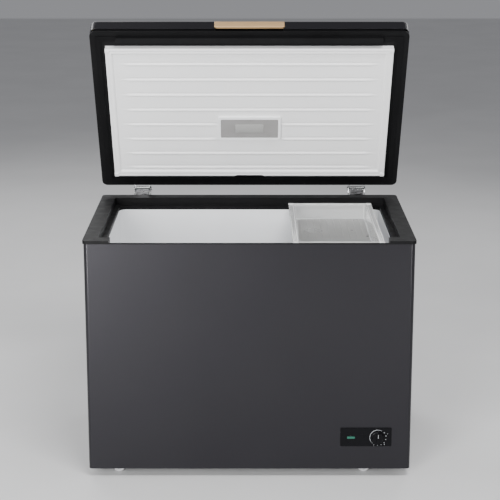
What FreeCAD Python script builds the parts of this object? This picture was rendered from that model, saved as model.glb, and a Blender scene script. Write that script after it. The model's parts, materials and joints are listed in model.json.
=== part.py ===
import FreeCAD, Part
import math
import os

import Sketcher

# Chest freezer with a hinged lid, standing on four rollers, modelled with its lid open.
# Row frame: +Z up, -Y to the front, +X to the right as seen from the front. The origin is on the
# floor, at the middle of the space that the freezer takes up with its lid open. Millimetres.

DIMENSIONS = (
    # alias, value, meaning
    ("frame_width", 1000.0, "outer width of the plastic frame round the opening"),
    ("frame_depth", 626.0, "outer depth of that frame"),
    ("rim_level", 758.0, "height of the frame's flat top above the floor"),
    ("front_plane", -330.0, "Y of the frame's front edge"),
    ("wrap_inset", 3.0, "how far the steel wrap stands back under the frame"),
    ("wrap_radius", 12.0, "radius of the cabinet's vertical corners"),
    ("sheet_steel", 1.0, "thickness of the folded steel"),
    ("base_level", 29.3, "height of the wrap's lower edge above the floor"),
    ("hem_width", 20.0, "folded edge of the wrap"),
    ("wrap_lap", 0.7, "how far the wrap reaches up behind the frame's skirt"),
    ("deck_level", 46.0, "height of the bottom panel's underside"),
    ("moulding", 2.5, "wall of the plastic frames"),
    ("skirt_drop", 10.0, "height of the frame's outer skirt"),
    ("flat_width", 46.0, "width of the frame's flat top"),
    ("ledge_drop", 24.0, "flat top down to the ledge that the lid's gasket meets"),
    ("mouth_inset", 62.0, "outer edge of the frame to the liner's inner face"),
    ("step_drop", 37.0, "flat top down to the liner's upper edge"),
    ("dip_half_width", 420.0, "half the width of the grip dip in the front rail"),
    ("dip_drop", 6.5, "depth of that dip at the front edge"),
    ("dip_lip", 4.0, "level part of the dip's front edge"),
    ("liner_wall", 1.5, "wall of the inner liner"),
    ("liner_floor", 112.0, "height of the liner's floor above the floor"),
    ("liner_radius", 25.0, "radius of the liner's upright corners"),
    ("step_side", 212.0, "X where the liner steps up over the compressor"),
    ("step_level", 338.0, "height of that step above the floor"),
    ("bay_side", 262.0, "X of the compressor bay's left wall"),
    ("bay_top", 285.0, "height of the compressor bay's ceiling"),
    ("foam_gap", 0.3, "gap between the foam block and its skins"),
    ("vent_width", 196.0, "opening in the back panel for the compressor bay"),
    ("vent_height", 226.0, "height of that opening"),
    ("vent_margin", 10.0, "hem of the wrap to the bay's opening"),
    ("vent_slot", 5.0, "height of a slot in the bay's grille"),
    ("vent_pitch", 14.0, "pitch of those slots"),
    ("vent_rows", 13, "number of slots one above another"),
    ("gland_x", 295.0, "X of the mains lead's gland"),
    ("gland_level", 68.0, "height of that gland"),
    ("gland_bore", 4.2, "radius of the hole through the gland"),
    ("gland_neck", 6.2, "radius of the gland where it passes through the grille"),
    ("panel_left", 280.0, "X of the control panel's left edge"),
    ("panel_width", 157.5, "width of the control panel"),
    ("panel_base", 104.0, "height of the control panel's lower edge"),
    ("panel_height", 60.0, "height of the control panel"),
    ("panel_plate", 2.5, "how far the control panel stands proud of the wrap"),
    ("panel_seat", 4.0, "how far the panel laps over the window's edge"),
    ("panel_tongue", 3.0, "how far the panel reaches into the window"),
    ("knob_centre", 395.5, "X of the thermostat's shaft"),
    ("knob_level", 132.5, "height of that shaft"),
    ("knob_radius", 20.0, "radius of the thermostat's knob"),
    ("knob_height", 15.0, "how far the knob stands out"),
    ("shaft_radius", 3.0, "radius of the thermostat's shaft"),
    ("lens_width", 24.0, "width of the running light"),
    ("lens_height", 7.0, "height of the running light"),
    ("lens_centre", 312.8, "X of the running light"),
    ("lens_flange", 2.0, "thickness of the lens's flange behind the panel"),
    ("lid_angle", 61.5, "how far the lid is open, in degrees"),
    ("pivot_back", 27.0, "hinge pin behind the cabinet's back edge"),
    ("pivot_rise", 16.0, "hinge pin above the frame's flat top"),
    ("lid_gap", 3.0, "frame's flat top to the closed lid's underside"),
    ("lid_overhang", 4.0, "how far the closed lid reaches past the frame's front"),
    ("lid_height", 59.0, "thickness of the lid's edge"),
    ("lid_radius", 18.0, "radius of the lid's corners"),
    ("lid_edge_radius", 5.0, "radius of the lid's upper edges"),
    ("rim_height", 6.0, "height of the lid frame's outer rim"),
    ("groove_top", 17.0, "underside to the skin's lower edge"),
    ("groove_depth", 6.0, "depth of the groove between the rim and the skin"),
    ("border_width", 70.0, "width of the lid frame's underside"),
    ("gasket_inset", 16.0, "lid's edge to the rubber gasket"),
    ("gasket_width", 16.0, "width of the gasket"),
    ("gasket_squeeze", 0.3, "gap between the gasket and the frame with the lid closed"),
    ("collar_side", 47.5, "lid's side edge to the inner panel's raised collar"),
    ("collar_front", 53.0, "lid's front edge to that collar"),
    ("collar_back", 56.0, "lid's hinge edge to that collar"),
    ("collar_width", 20.0, "width of the collar"),
    ("collar_reach", 19.5, "how far the collar stands out of the lid's underside"),
    ("collar_notch", 90.0, "width of the air notch in the collar's hinge side"),
    ("pan_drop", 13.0, "how far the lid's inner panel stands out"),
    ("pan_wall", 1.5, "wall of the lid's inner panel"),
    ("pan_radius", 22.0, "corner radius of the inner panel"),
    ("flute_pitch", 60.5, "pitch of the grooves across the inner panel"),
    ("flute_first", 96.5, "lid's hinge edge to the first groove"),
    ("flute_count", 8, "number of grooves"),
    ("flute_half_length", 400.0, "half the length of a groove"),
    ("flute_width", 4.0, "width of a groove"),
    ("flute_depth", 0.8, "depth of a groove"),
    ("lamp_centre", 260.0, "lid's hinge edge to the lamp's middle"),
    ("lamp_width", 206.0, "width of the lamp's housing"),
    ("lamp_depth", 94.0, "other side of that housing"),
    ("lamp_height", 7.0, "how far the lamp stands out of the inner panel"),
    ("lamp_border", 9.0, "border round the lamp's lens"),
    ("handle_width", 220.0, "width of the handle strip"),
    ("handle_base", 26.0, "lid's underside to the strip's lower edge"),
    ("handle_top", 55.0, "lid's underside to the strip's upper edge"),
    ("handle_plate", 3.0, "thickness of the strip"),
    ("grip_depth", 26.0, "depth of the finger cup behind the strip"),
    ("hinge_centre", 365.0, "X of each hinge, either side of the middle"),
    ("arm_half", 25.4, "hinge arm's outer face from its middle"),
    ("ear_half", 28.0, "hinge housing's outer face from its middle"),
    ("plunger_half", 22.4, "spring plunger's side from its middle, between the arm's cheeks"),
    ("screw_radius", 2.0, "radius of the hinges' screws"),
    ("screw_head", 4.2, "radius of their heads"),
    ("plunger_foot", 20.0, "frame's flat top down to the spring plunger's foot"),
    ("hinge_steel", 2.0, "thickness of the hinge's steel"),
    ("housing_depth", 38.0, "depth of the hinge housing"),
    ("housing_drop", 150.0, "frame's flat top down to the housing's lower end"),
    ("pin_radius", 4.0, "radius of the hinge pin and of the cam pin"),
    ("pin_clearance", 0.06, "radial clearance of the arm round its pin"),
    ("cam_throw", 12.0, "hinge pin to cam pin"),
    ("spring_seat", 110.0, "frame's flat top down to the spring's lower seat"),
    ("spring_radius", 6.4, "mean radius of the counterbalance spring"),
    ("spring_wire", 1.1, "radius of its wire"),
    ("spring_turns", 12, "turns of that spring"),
    ("roller_radius", 20.0, "radius of a floor roller"),
    ("roller_width", 22.0, "width of a floor roller"),
    ("roller_left", -408.0, "X of the left rollers"),
    ("roller_right", 357.5, "X of the right rollers"),
    ("roller_front", -273.0, "Y of the front rollers"),
    ("roller_back", 235.0, "Y of the back rollers"),
    ("axle_radius", 3.5, "radius of a roller's axle"),
    ("axle_clearance", 0.08, "radial clearance of a roller round its axle"),
    ("basket_left", 131.0, "X of the basket's left edge"),
    ("basket_width", 280.0, "width of the basket over its rim"),
    ("basket_rim", 6.0, "height of the basket's rim above the ledge it slides on"),
    ("basket_drop", 52.0, "rim's top to the basket's underside"),
    ("basket_wall", 2.0, "wall of the basket"),
    ("basket_rim_width", 20.0, "width of the basket's rim"),
    ("slide_gap", 0.3, "gap under the basket's rim and beside it"),
    ("compressor_x", 378.0, "X of the compressor's middle"),
    ("compressor_y", 150.0, "Y of the compressor's middle"),
    ("compressor_radius", 72.0, "radius of the compressor's shell"),
    ("compressor_shell", 3.0, "thickness of that shell"),
    ("compressor_height", 150.0, "height of that shell"),
    ("mount_rise", 14.0, "base plate to the compressor's feet"),
    ("foot_stance", 62.0, "compressor's middle to each foot, along X and along Y"),
    ("foot_bolt", 4.0, "radius of the bolts through the compressor's feet"),
    ("tube_radius", 3.0, "radius of the refrigerant tubes"),
    ("coil_pitch", 50.0, "pitch of the coils' runs"),
    ("drain_x", -380.0, "X of the drain"),
    ("drain_y", 180.0, "Y of the drain"),
    ("drain_radius", 14.0, "outer radius of the drain tube"),
)

document = FreeCAD.newDocument("chest_freezer")
sheet = document.addObject("Spreadsheet::Sheet", "dimensions")
finished = {}


class Size:
    """A length that keeps the spreadsheet formula it was worked out with."""

    def __init__(self, value, formula):
        self.value = float(value)
        self.formula = formula

    def __add__(self, other):
        other = size(other)
        return Size(self.value + other.value, f"({self.formula} + {other.formula})")

    def __sub__(self, other):
        other = size(other)
        return Size(self.value - other.value, f"({self.formula} - {other.formula})")

    def __mul__(self, other):
        other = size(other)
        return Size(self.value * other.value, f"({self.formula} * {other.formula})")

    def __truediv__(self, other):
        other = size(other)
        return Size(self.value / other.value, f"({self.formula} / {other.formula})")

    def __rsub__(self, other):
        return size(other) - self

    def __neg__(self):
        return self * -1

    __radd__ = __add__
    __rmul__ = __mul__


def size(amount):
    if isinstance(amount, Size):
        return amount
    return Size(amount, repr(float(amount)))


class Dimensions:
    """The spreadsheet's values by their alias."""


d = Dimensions()
sheet.set("A1", "name")
sheet.set("B1", "millimetres, degrees or count")
sheet.set("C1", "meaning")
for row, (alias, value, meaning) in enumerate(DIMENSIONS, start=2):
    sheet.set(f"A{row}", alias)
    sheet.set(f"B{row}", str(value))
    sheet.set(f"C{row}", meaning)
    sheet.setAlias(f"B{row}", alias)
    setattr(d, alias, Size(value, f"dimensions.{alias}"))
document.recompute()

# Places that many pieces share.
half = d.frame_width / 2
front = d.front_plane
back = d.front_plane + d.frame_depth
rim = d.rim_level
wrap_half = half - d.wrap_inset
wrap_front = front + d.wrap_inset
wrap_back = back - d.wrap_inset
panel_back = wrap_back - d.sheet_steel
foam_half = wrap_half - d.sheet_steel - d.foam_gap
foam_front = wrap_front + d.sheet_steel + d.foam_gap
foam_back = panel_back - d.sheet_steel - d.foam_gap
deck_top = d.deck_level + d.sheet_steel
wrap_top = rim - d.skirt_drop + d.wrap_lap
vent_left = wrap_half - d.hem_width - d.vent_margin - d.vent_width
mouth_half = half - d.mouth_inset
mouth_front = front + d.mouth_inset
mouth_back = back - d.mouth_inset
ledge = rim - d.ledge_drop
liner_top = rim - d.step_drop
underside = rim + d.lid_gap
lid_front = front - d.lid_overhang
pivot_y = back + d.pivot_back
pivot_z = rim + d.pivot_rise
PASS = 1.0  # how far a cut runs past the face that it opens
FIT = 0.3  # gap round a piece that is fixed in a hole
AXIS = 0.001  # closest that a turned outline comes to its axis


# ---------------------------------------------------------------- helpers

SIDES = {"XY": ("XY_Plane", 1), "XZ": ("XZ_Plane", -1), "YZ": ("YZ_Plane", 1)}


def box(x0, x1, y0, y1, z0, z1):
    """A block between six planes."""
    block = document.addObject("Part::Box", "block")
    for name, low, high in (("Length", x0, x1), ("Width", y0, y1), ("Height", z0, z1)):
        block.setExpression(name, (size(high) - low).formula)
    for axis, low in (("x", x0), ("y", y0), ("z", z0)):
        block.setExpression(f"Placement.Base.{axis}", size(low).formula)
    return block


TURNS = {
    "X": FreeCAD.Rotation(FreeCAD.Vector(0, 1, 0), 90),
    "Y": FreeCAD.Rotation(FreeCAD.Vector(1, 0, 0), -90),
    "Z": FreeCAD.Rotation(),
}


def rod(axis, start, radius, length):
    """A cylinder from its start point along +X, +Y or +Z."""
    cylinder = document.addObject("Part::Cylinder", "rod")
    cylinder.Placement = FreeCAD.Placement(FreeCAD.Vector(), TURNS[axis])
    cylinder.setExpression("Radius", size(radius).formula)
    cylinder.setExpression("Height", size(length).formula)
    for name, place in zip("xyz", start):
        cylinder.setExpression(f"Placement.Base.{name}", size(place).formula)
    return cylinder


def fuse(pieces):
    joined = document.addObject("Part::MultiFuse", "joined")
    joined.Shapes = pieces
    joined.Refine = True
    return joined


def cut(base, tool):
    rest = document.addObject("Part::Cut", "rest")
    rest.Base = base
    rest.Tool = tool
    return rest


def group(pieces):
    """Separate solids that are one sub-part, such as a set of screws."""
    together = document.addObject("Part::Compound", "together")
    together.Links = pieces
    return together


def finish(piece, name):
    """Names a sub-part: the label is its file's name."""
    piece.Label = name
    finished[name] = piece
    return piece


def new_body(name):
    return finish(document.addObject("PartDesign::Body", "Body_" + name), name)


def rectangle(x0, x1, y0, y1, radius=None):
    return ("rectangle", (size(x0), size(x1), size(y0), size(y1)), radius)


def polygon(*points):
    return ("polygon", [(size(x), size(y)) for x, y in points], None)


def disc(x, y, radius):
    return ("disc", (size(x), size(y)), radius)


def place_point(sketch, index, end, point):
    """Holds a point of the sketch at its two distances from the origin."""
    for kind, distance in (("DistanceX", point[0]), ("DistanceY", point[1])):
        held = sketch.addConstraint(Sketcher.Constraint(kind, -1, 1, index, end, distance.value))
        sketch.setExpression(f"Constraints[{held}]", distance.formula)


def vector(point):
    return FreeCAD.Vector(point[0].value, point[1].value, 0)


def draw_polygon(sketch, points):
    first = sketch.GeometryCount
    count = len(points)
    for here, there in zip(points, points[1:] + points[:1]):
        sketch.addGeometry(Part.LineSegment(vector(here), vector(there)), False)
    for step in range(count):
        after = first + (step + 1) % count
        sketch.addConstraint(Sketcher.Constraint("Coincident", first + step, 2, after, 1))
    for step, point in enumerate(points):
        place_point(sketch, first + step, 1, point)


def draw_rounded(sketch, x0, x1, y0, y1, radius):
    """A rectangle with round corners: four lines, four arcs, anticlockwise."""
    radius = size(radius)
    first = sketch.GeometryCount
    lean = radius.value * (1 - math.sqrt(0.5))
    lines = (
        ((x0 + radius, y0), (x1 - radius, y0)),
        ((x1, y0 + radius), (x1, y1 - radius)),
        ((x1 - radius, y1), (x0 + radius, y1)),
        ((x0, y1 - radius), (x0, y0 + radius)),
    )
    middles = (
        (x1.value - lean, y0.value + lean),
        (x1.value - lean, y1.value - lean),
        (x0.value + lean, y1.value - lean),
        (x0.value + lean, y0.value + lean),
    )
    for start, end in lines:
        sketch.addGeometry(Part.LineSegment(vector(start), vector(end)), False)
    for side in range(4):
        start = vector(lines[side][1])
        end = vector(lines[(side + 1) % 4][0])
        sketch.addGeometry(Part.Arc(start, FreeCAD.Vector(*middles[side], 0), end), False)
    for side, (start, end) in enumerate(lines):
        arc = first + 4 + side
        place_point(sketch, first + side, 1, start)
        place_point(sketch, first + side, 2, end)
        sketch.addConstraint(Sketcher.Constraint("Coincident", first + side, 2, arc, 1))
        after = first + (side + 1) % 4
        sketch.addConstraint(Sketcher.Constraint("Coincident", arc, 2, after, 1))
        held = sketch.addConstraint(Sketcher.Constraint("Radius", arc, radius.value))
        sketch.setExpression(f"Constraints[{held}]", radius.formula)


def draw_disc(sketch, centre, radius):
    radius = size(radius)
    circle = Part.Circle(vector(centre), FreeCAD.Vector(0, 0, 1), radius.value)
    index = sketch.addGeometry(circle, False)
    place_point(sketch, index, 3, centre)
    held = sketch.addConstraint(Sketcher.Constraint("Radius", index, radius.value))
    sketch.setExpression(f"Constraints[{held}]", radius.formula)


def section(body, plane, level, shapes):
    """A sketch across the body, at a level along the axis square to its plane."""
    role, sense = SIDES[plane]
    sketch = body.newObject("Sketcher::SketchObject", "section")
    support = [part for part in body.Origin.OriginFeatures if part.Role == role][0]
    sketch.AttachmentSupport = (support, [""])
    sketch.MapMode = "FlatFace"
    sketch.setExpression("AttachmentOffset.Base.z", (size(level) * sense).formula)
    for kind, places, radius in shapes:
        if kind == "polygon":
            draw_polygon(sketch, places)
        elif kind == "disc":
            draw_disc(sketch, places, radius)
        elif radius is None:
            x0, x1, y0, y1 = places
            draw_polygon(sketch, [(x0, y0), (x1, y0), (x1, y1), (x0, y1)])
        else:
            draw_rounded(sketch, *places, radius)
    return sketch


def pad(body, plane, low, high, *shapes):
    """Adds the shapes between two levels along the axis square to the plane."""
    feature = body.newObject("PartDesign::Pad", "pad")
    feature.Profile = section(body, plane, low, shapes)
    feature.Reversed = SIDES[plane][1] < 0
    feature.setExpression("Length", (size(high) - low).formula)
    body.Tip = feature
    return feature


def pocket(body, plane, low, high, *shapes):
    """Cuts the shapes away between two levels along the axis square to the plane."""
    feature = body.newObject("PartDesign::Pocket", "pocket")
    feature.Profile = section(body, plane, low, shapes)
    feature.Reversed = SIDES[plane][1] > 0
    feature.setExpression("Length", (size(high) - low).formula)
    body.Tip = feature
    return feature


def repeat(body, feature, direction, pitch, count, backwards=False):
    """Repeats a feature along one of its own sketch's axes."""
    pattern = body.newObject("PartDesign::LinearPattern", "pattern")
    pattern.Originals = [feature]
    pattern.Direction = (feature.Profile[0], [direction])
    pattern.Reversed = backwards
    pattern.setExpression("Length", (size(pitch) * (size(count) - 1)).formula)
    pattern.setExpression("Occurrences", size(count).formula)
    body.Tip = pattern
    return pattern


def turned(body, plane, axis, *points):
    """A solid of revolution about one of the plane's own axes through the origin."""
    feature = body.newObject("PartDesign::Revolution", "revolution")
    sketch = section(body, plane, 0, [polygon(*points)])
    feature.Profile = sketch
    feature.ReferenceAxis = (sketch, [axis])
    feature.Angle = 360.0
    body.Tip = feature
    return feature


def rounded(body, radius, chosen):
    """Rounds the edges of the body's last feature that a test picks."""
    document.recompute()
    tip = body.Tip
    names = [f"Edge{i}" for i, edge in enumerate(tip.Shape.Edges, start=1) if chosen(edge)]
    feature = body.newObject("PartDesign::Fillet", "fillet")
    feature.Base = (tip, names)
    feature.setExpression("Radius", size(radius).formula)
    body.Tip = feature


def hollowed(body, wall, inwards, chosen):
    """Leaves a wall all over the body except at the faces that a test picks."""
    document.recompute()
    tip = body.Tip
    names = [f"Face{i}" for i, face in enumerate(tip.Shape.Faces, start=1) if chosen(face)]
    feature = body.newObject("PartDesign::Thickness", "thickness")
    feature.Base = (tip, names)
    feature.setExpression("Value", size(wall).formula)
    feature.Reversed = inwards
    body.Tip = feature


def upright(edge):
    box_of_edge = edge.BoundBox
    return box_of_edge.ZLength > 1 and box_of_edge.XLength + box_of_edge.YLength < 1e-6


def flat_at(level):
    """A test for the horizontal edges or faces at a level."""

    def chosen(shape):
        bounds = shape.BoundBox
        return bounds.ZLength < 1e-6 and abs(bounds.ZMin - level.value) < 1e-3

    return chosen


def put(piece, x, y, z):
    """Moves a piece that was drawn about the origin to its place."""
    for axis, place in zip("xyz", (x, y, z)):
        piece.setExpression(f"Placement.Base.{axis}", size(place).formula)


def open_lid(piece):
    """Swings a piece of the closed lid about the hinge pins to the open position."""
    swing = FreeCAD.Rotation(FreeCAD.Vector(1, 0, 0), -d.lid_angle.value)
    pivot = FreeCAD.Vector(0, pivot_y.value, pivot_z.value)
    piece.Placement = FreeCAD.Placement(FreeCAD.Vector(), swing, pivot)


def tube(name, points, bend, radius):
    """A tube along straight runs joined by tangent arcs."""
    knots = [FreeCAD.Vector(*point) for point in points]
    edges = []
    start = knots[0]
    for before, corner, after in zip(knots, knots[1:], knots[2:]):
        inward = (before - corner).normalize()
        outward = (after - corner).normalize()
        reach = bend / math.tan(inward.getAngle(outward) / 2)
        middle = (inward + outward).normalize()
        centre = corner + middle * (bend / math.sin(inward.getAngle(outward) / 2))
        first = corner + inward * reach
        last = corner + outward * reach
        if (first - start).Length > 1e-6:
            edges.append(Part.LineSegment(start, first).toShape())
        edges.append(Part.Arc(first, centre - middle * bend, last).toShape())
        start = last
    if (knots[-1] - start).Length > 1e-6:
        edges.append(Part.LineSegment(start, knots[-1]).toShape())
    path = Part.Wire(edges)
    ring = Part.Wire(Part.makeCircle(radius, knots[0], knots[1] - knots[0]))
    piece = document.addObject("Part::Feature", "tube_" + name)
    piece.Shape = path.makePipeShell([ring], True, False)
    expected = math.pi * radius**2 * path.Length
    if abs(piece.Shape.Volume - expected) > 0.01 * expected:
        raise RuntimeError(f"{name}: the tube's volume isn't its section times its length")
    return finish(piece, name)


# ---------------------------------------------------------------- cabinet


def outer_shell():
    """One steel sheet folded round the front and the sides, with hems at its edges."""
    body = new_body("outer_shell")
    steel = d.sheet_steel
    top = wrap_top
    outline = rectangle(-wrap_half, wrap_half, wrap_front, wrap_back, d.wrap_radius)
    inside = rectangle(
        steel - wrap_half,
        wrap_half - steel,
        wrap_front + steel,
        wrap_back - steel,
        d.wrap_radius - steel,
    )
    pad(body, "XY", d.base_level, top, outline, inside)
    hem = d.hem_width
    hem_hole = rectangle(
        hem - wrap_half, wrap_half - hem, wrap_front + hem, wrap_back - hem, steel
    )
    pad(body, "XY", d.base_level, d.base_level + steel, outline, hem_hole)
    rear = rectangle(hem - wrap_half, wrap_half - hem, d.base_level - PASS, top + PASS)
    pocket(body, "XZ", wrap_back - hem - PASS, wrap_back + PASS, rear)
    seat = d.panel_seat
    window = rectangle(
        d.panel_left + seat,
        d.panel_left + d.panel_width - seat,
        d.panel_base + seat,
        d.panel_base + d.panel_height - seat,
    )
    pocket(body, "XZ", wrap_front - PASS, wrap_front + 2 * PASS, window)


def back_panel():
    """Flat rear sheet with the compressor bay's opening."""
    body = new_body("back_panel")
    steel = d.sheet_steel
    side = wrap_half - d.wrap_radius
    sheet_shape = rectangle(-side, side, deck_top, wrap_top)
    pad(body, "XZ", panel_back - steel, panel_back, sheet_shape)
    opening = rectangle(
        vent_left, vent_left + d.vent_width, deck_top + 4, deck_top + 4 + d.vent_height
    )
    pocket(body, "XZ", panel_back - 2 * steel, panel_back + steel, opening)


def bottom_panel():
    body = new_body("bottom_panel")
    side = wrap_half - d.sheet_steel
    pad(
        body,
        "XY",
        d.deck_level,
        deck_top,
        rectangle(-side, side, wrap_front + d.sheet_steel, panel_back, d.wrap_radius - d.sheet_steel),
    )
    hatch = rectangle(d.bay_side + 16, side - 16, -180, panel_back - 16)
    spout_hole = disc(d.drain_x, d.drain_y, d.drain_radius + FIT)
    pocket(body, "XY", d.deck_level - PASS, deck_top + PASS, hatch, spout_hole)


def insulation_foam():
    """Foamed block between the skins, hollow for the liner and cut away over the bay."""
    gap = d.foam_gap
    wall = d.liner_wall + gap
    block = document.addObject("PartDesign::Body", "Body_foam_block")
    outline = rectangle(
        -foam_half, foam_half, foam_front, foam_back, d.wrap_radius - d.sheet_steel - gap
    )
    pad(block, "XY", deck_top + gap, rim - d.moulding - gap, outline)
    recess = d.flat_width - d.moulding - gap
    over_ledge = box(
        recess - half,
        half - recess,
        front + recess,
        back - recess,
        ledge - d.moulding - gap,
        rim + PASS,
    )
    well = (mouth_front - wall, mouth_back + wall)
    main_well = box(
        -mouth_half - wall, d.step_side + wall, *well, d.liner_floor - wall, rim + PASS
    )
    step_well = box(
        d.step_side - PASS, mouth_half + wall, *well, d.step_level - wall, rim + PASS
    )
    bay = box(d.bay_side, half, front, back, d.base_level, d.bay_top)
    dip = box(
        -d.dip_half_width - d.moulding - gap,
        d.dip_half_width + d.moulding + gap,
        front,
        front + d.flat_width,
        ledge - d.moulding - gap,
        rim + PASS,
    )
    throat = d.mouth_inset - d.moulding - gap
    round_throat = box(
        throat - half, half - throat, front + throat, back - throat, liner_top - gap, rim + PASS
    )
    spout = rod("Z", (d.drain_x, d.drain_y, d.base_level), d.drain_radius + gap, d.liner_floor)
    hollows = [over_ledge, round_throat, main_well, step_well, bay, dip, spout]
    finish(cut(block, fuse(hollows)), "insulation_foam")


def inner_liner():
    """White tub with a step over the compressor bay."""
    body = new_body("inner_liner")
    outline = polygon(
        (-mouth_half, d.liner_floor),
        (d.step_side, d.liner_floor),
        (d.step_side, d.step_level),
        (mouth_half, d.step_level),
        (mouth_half, liner_top),
        (-mouth_half, liner_top),
    )
    pad(body, "XZ", mouth_front, mouth_back, outline)
    rounded(body, d.liner_radius, upright)
    hollowed(body, d.liner_wall, False, flat_at(liner_top))
    pocket(body, "XY", d.liner_floor - 2 * d.liner_wall, d.liner_floor + PASS, disc(d.drain_x, d.drain_y, 12))


def frame_ring():
    """The section of the plastic frame, taken all the way round with square corners."""
    ring = document.addObject("PartDesign::Body", "Body_frame_ring")
    ring.Label = "frame_ring"
    wall = d.moulding

    def band(inset, radius=None):
        return rectangle(inset - half, half - inset, front + inset, back - inset, radius)

    corner = d.wrap_radius
    top = rim - wall
    floor_of_ledge = ledge - wall
    pad(ring, "XY", rim - d.skirt_drop, top, band(size(0), corner), band(wall, corner - wall))
    pad(ring, "XY", top, rim, band(size(0), corner), band(d.flat_width))
    recess = d.flat_width - wall
    pad(ring, "XY", floor_of_ledge, top, band(recess), band(d.flat_width))
    pad(ring, "XY", floor_of_ledge, ledge, band(recess), band(d.mouth_inset, d.liner_radius))
    throat = band(d.mouth_inset - wall, d.liner_radius + wall)
    pad(ring, "XY", liner_top, floor_of_ledge, throat, band(d.mouth_inset, d.liner_radius))
    return ring


def frame_rails():
    """The frame is four rails, mitred at the corners."""
    ring = frame_ring()
    reach = half / 2
    out_x = half + PASS
    out_front = front - PASS
    out_back = back + PASS
    corners = {
        "frame_rail_left": ((-out_x, out_front), (-out_x, out_back), 1, -1, 1, 1),
        "frame_rail_right": ((out_x, out_back), (out_x, out_front), -1, 1, -1, -1),
        "frame_rail_front": ((out_x, out_front), (-out_x, out_front), 1, 1, -1, 1),
        "frame_rail_back": ((-out_x, out_back), (out_x, out_back), -1, -1, 1, -1),
    }
    for name, (start, end, end_x, end_y, start_x, start_y) in corners.items():
        block = document.addObject("PartDesign::Body", "Body_mitre")
        third = (end[0] + reach * end_x, end[1] + reach * end_y)
        fourth = (start[0] + reach * start_x, start[1] + reach * start_y)
        pad(block, "XY", liner_top - PASS, rim + PASS, polygon(start, end, third, fourth))
        rail = document.addObject("Part::Common", "rail")
        rail.Base = ring
        rail.Tool = block
        if name == "frame_rail_front":
            rail = dipped(rail)
        finish(rail, name)


def dipped(rail):
    """Lowers the middle of the front rail: a slope from a low lip down to the ledge."""
    wide = d.dip_half_width
    wall = d.moulding
    flat = front + d.flat_width
    hollow = box(-wide, wide, front - PASS, flat, ledge, rim + PASS)
    slope = document.addObject("PartDesign::Body", "Body_dip")
    low = rim - d.dip_drop
    foot = rim - d.skirt_drop
    under = ledge - wall
    underside_of_dip = (
        (flat, under),
        (flat - wall, under),
        (front + d.dip_lip, low - wall),
        (front + wall, low - wall),
        (front + wall, foot),
    )
    sloped = polygon((front, foot), (front, low), (front + d.dip_lip, low), (flat, ledge), *underside_of_dip)
    pad(slope, "YZ", -wide, wide, sloped)
    for low_x, high_x in ((-wide - wall, -wide), (wide, wide + wall)):
        cheek = polygon((front, foot), (front, rim), (flat, rim), *underside_of_dip)
        pad(slope, "YZ", low_x, high_x, cheek)
    return fuse([cut(rail, hollow), slope])


# ---------------------------------------------------------------- controls


def control_panel():
    """Black plate over a window in the wrap, with a shaft hole and the light's slot."""
    body = new_body("control_panel")
    left = d.panel_left
    low = d.panel_base
    face = wrap_front - d.panel_plate
    plate = rectangle(left, left + d.panel_width, low, low + d.panel_height, 3)
    pad(body, "XZ", face, wrap_front, plate)
    seat = d.panel_seat + FIT
    tongue_end = wrap_front + d.panel_tongue
    plug = rectangle(
        left + seat, left + d.panel_width - seat, low + seat, low + d.panel_height - seat
    )
    pad(body, "XZ", wrap_front, tongue_end, plug)
    shaft_hole = disc(d.knob_centre, d.knob_level, 2 * d.shaft_radius)
    pocket(body, "XZ", face - PASS, tongue_end + PASS, shaft_hole)
    wide = d.lens_width / 2
    tall = d.lens_height / 2
    slot = rectangle(
        d.lens_centre - wide, d.lens_centre + wide, d.knob_level - tall, d.knob_level + tall, 2
    )
    pocket(body, "XZ", face - PASS, tongue_end + PASS, slot)


def indicator_lens():
    body = new_body("indicator_lens")
    wide = d.lens_width / 2
    tall = d.lens_height / 2
    proud = 0.4
    face = wrap_front - d.panel_plate - proud
    rear = wrap_front + d.panel_tongue
    flange = 3

    def outline(grown, radius=None):
        x, z = d.lens_centre, d.knob_level
        return rectangle(x - wide - grown, x + wide + grown, z - tall - grown, z + tall + grown, radius)

    pad(body, "XZ", face, rear, outline(size(0), 2))
    pad(body, "XZ", rear, rear + d.lens_flange, outline(size(flange)))


def indicator_lamp():
    rear = wrap_front + d.panel_tongue + d.lens_flange
    board = box(
        d.lens_centre - 16, d.lens_centre + 16, rear + 6, rear + 7.6, d.knob_level - 9, d.knob_level + 9
    )
    bulb = rod("Y", (d.lens_centre, rear + 1, d.knob_level), 2.5, 5)
    finish(fuse([board, bulb]), "indicator_lamp")


def thermostat():
    """Control box behind the panel, its bush and the shaft that carries the knob."""
    rear = wrap_front + d.panel_tongue
    x, z = d.knob_centre, d.knob_level
    case = box(x - 19, x + 19, rear, rear + 26, z - 15, z + 15)
    bush = rod("Y", (x, wrap_front - 1.5, z), 2 * d.shaft_radius - 0.5, 5)
    shaft = rod("Y", (x, wrap_front - 10, z), d.shaft_radius, 12)
    tabs = [box(x + side - 4, x + side + 4, rear + 26, rear + 33, z - 1, z + 1) for side in (-9, 9)]
    finish(fuse([case, bush, shaft] + tabs), "thermostat")


def thermostat_knob():
    """Round knob with a tapered skirt and a grip bar across its face."""
    body = new_body("thermostat_knob")
    skirt = d.knob_radius
    depth = d.knob_height
    clear = d.shaft_radius + 0.05
    turned(
        body,
        "YZ",
        "H_Axis",
        (0, clear),
        (0, skirt),
        (-3, skirt),
        (-5, skirt - 1.5),
        (-depth * 0.62, skirt - 3),
        (-depth * 0.62, AXIS),
        (-8, AXIS),
        (-8, clear),
    )
    pad(body, "XZ", -depth, -depth * 0.55, rectangle(-4, 4, 3 - skirt, skirt - 3, 3))
    put(body, d.knob_centre, wrap_front - d.panel_plate - 0.5, d.knob_level)


# ---------------------------------------------------------------- cooling plant


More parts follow.
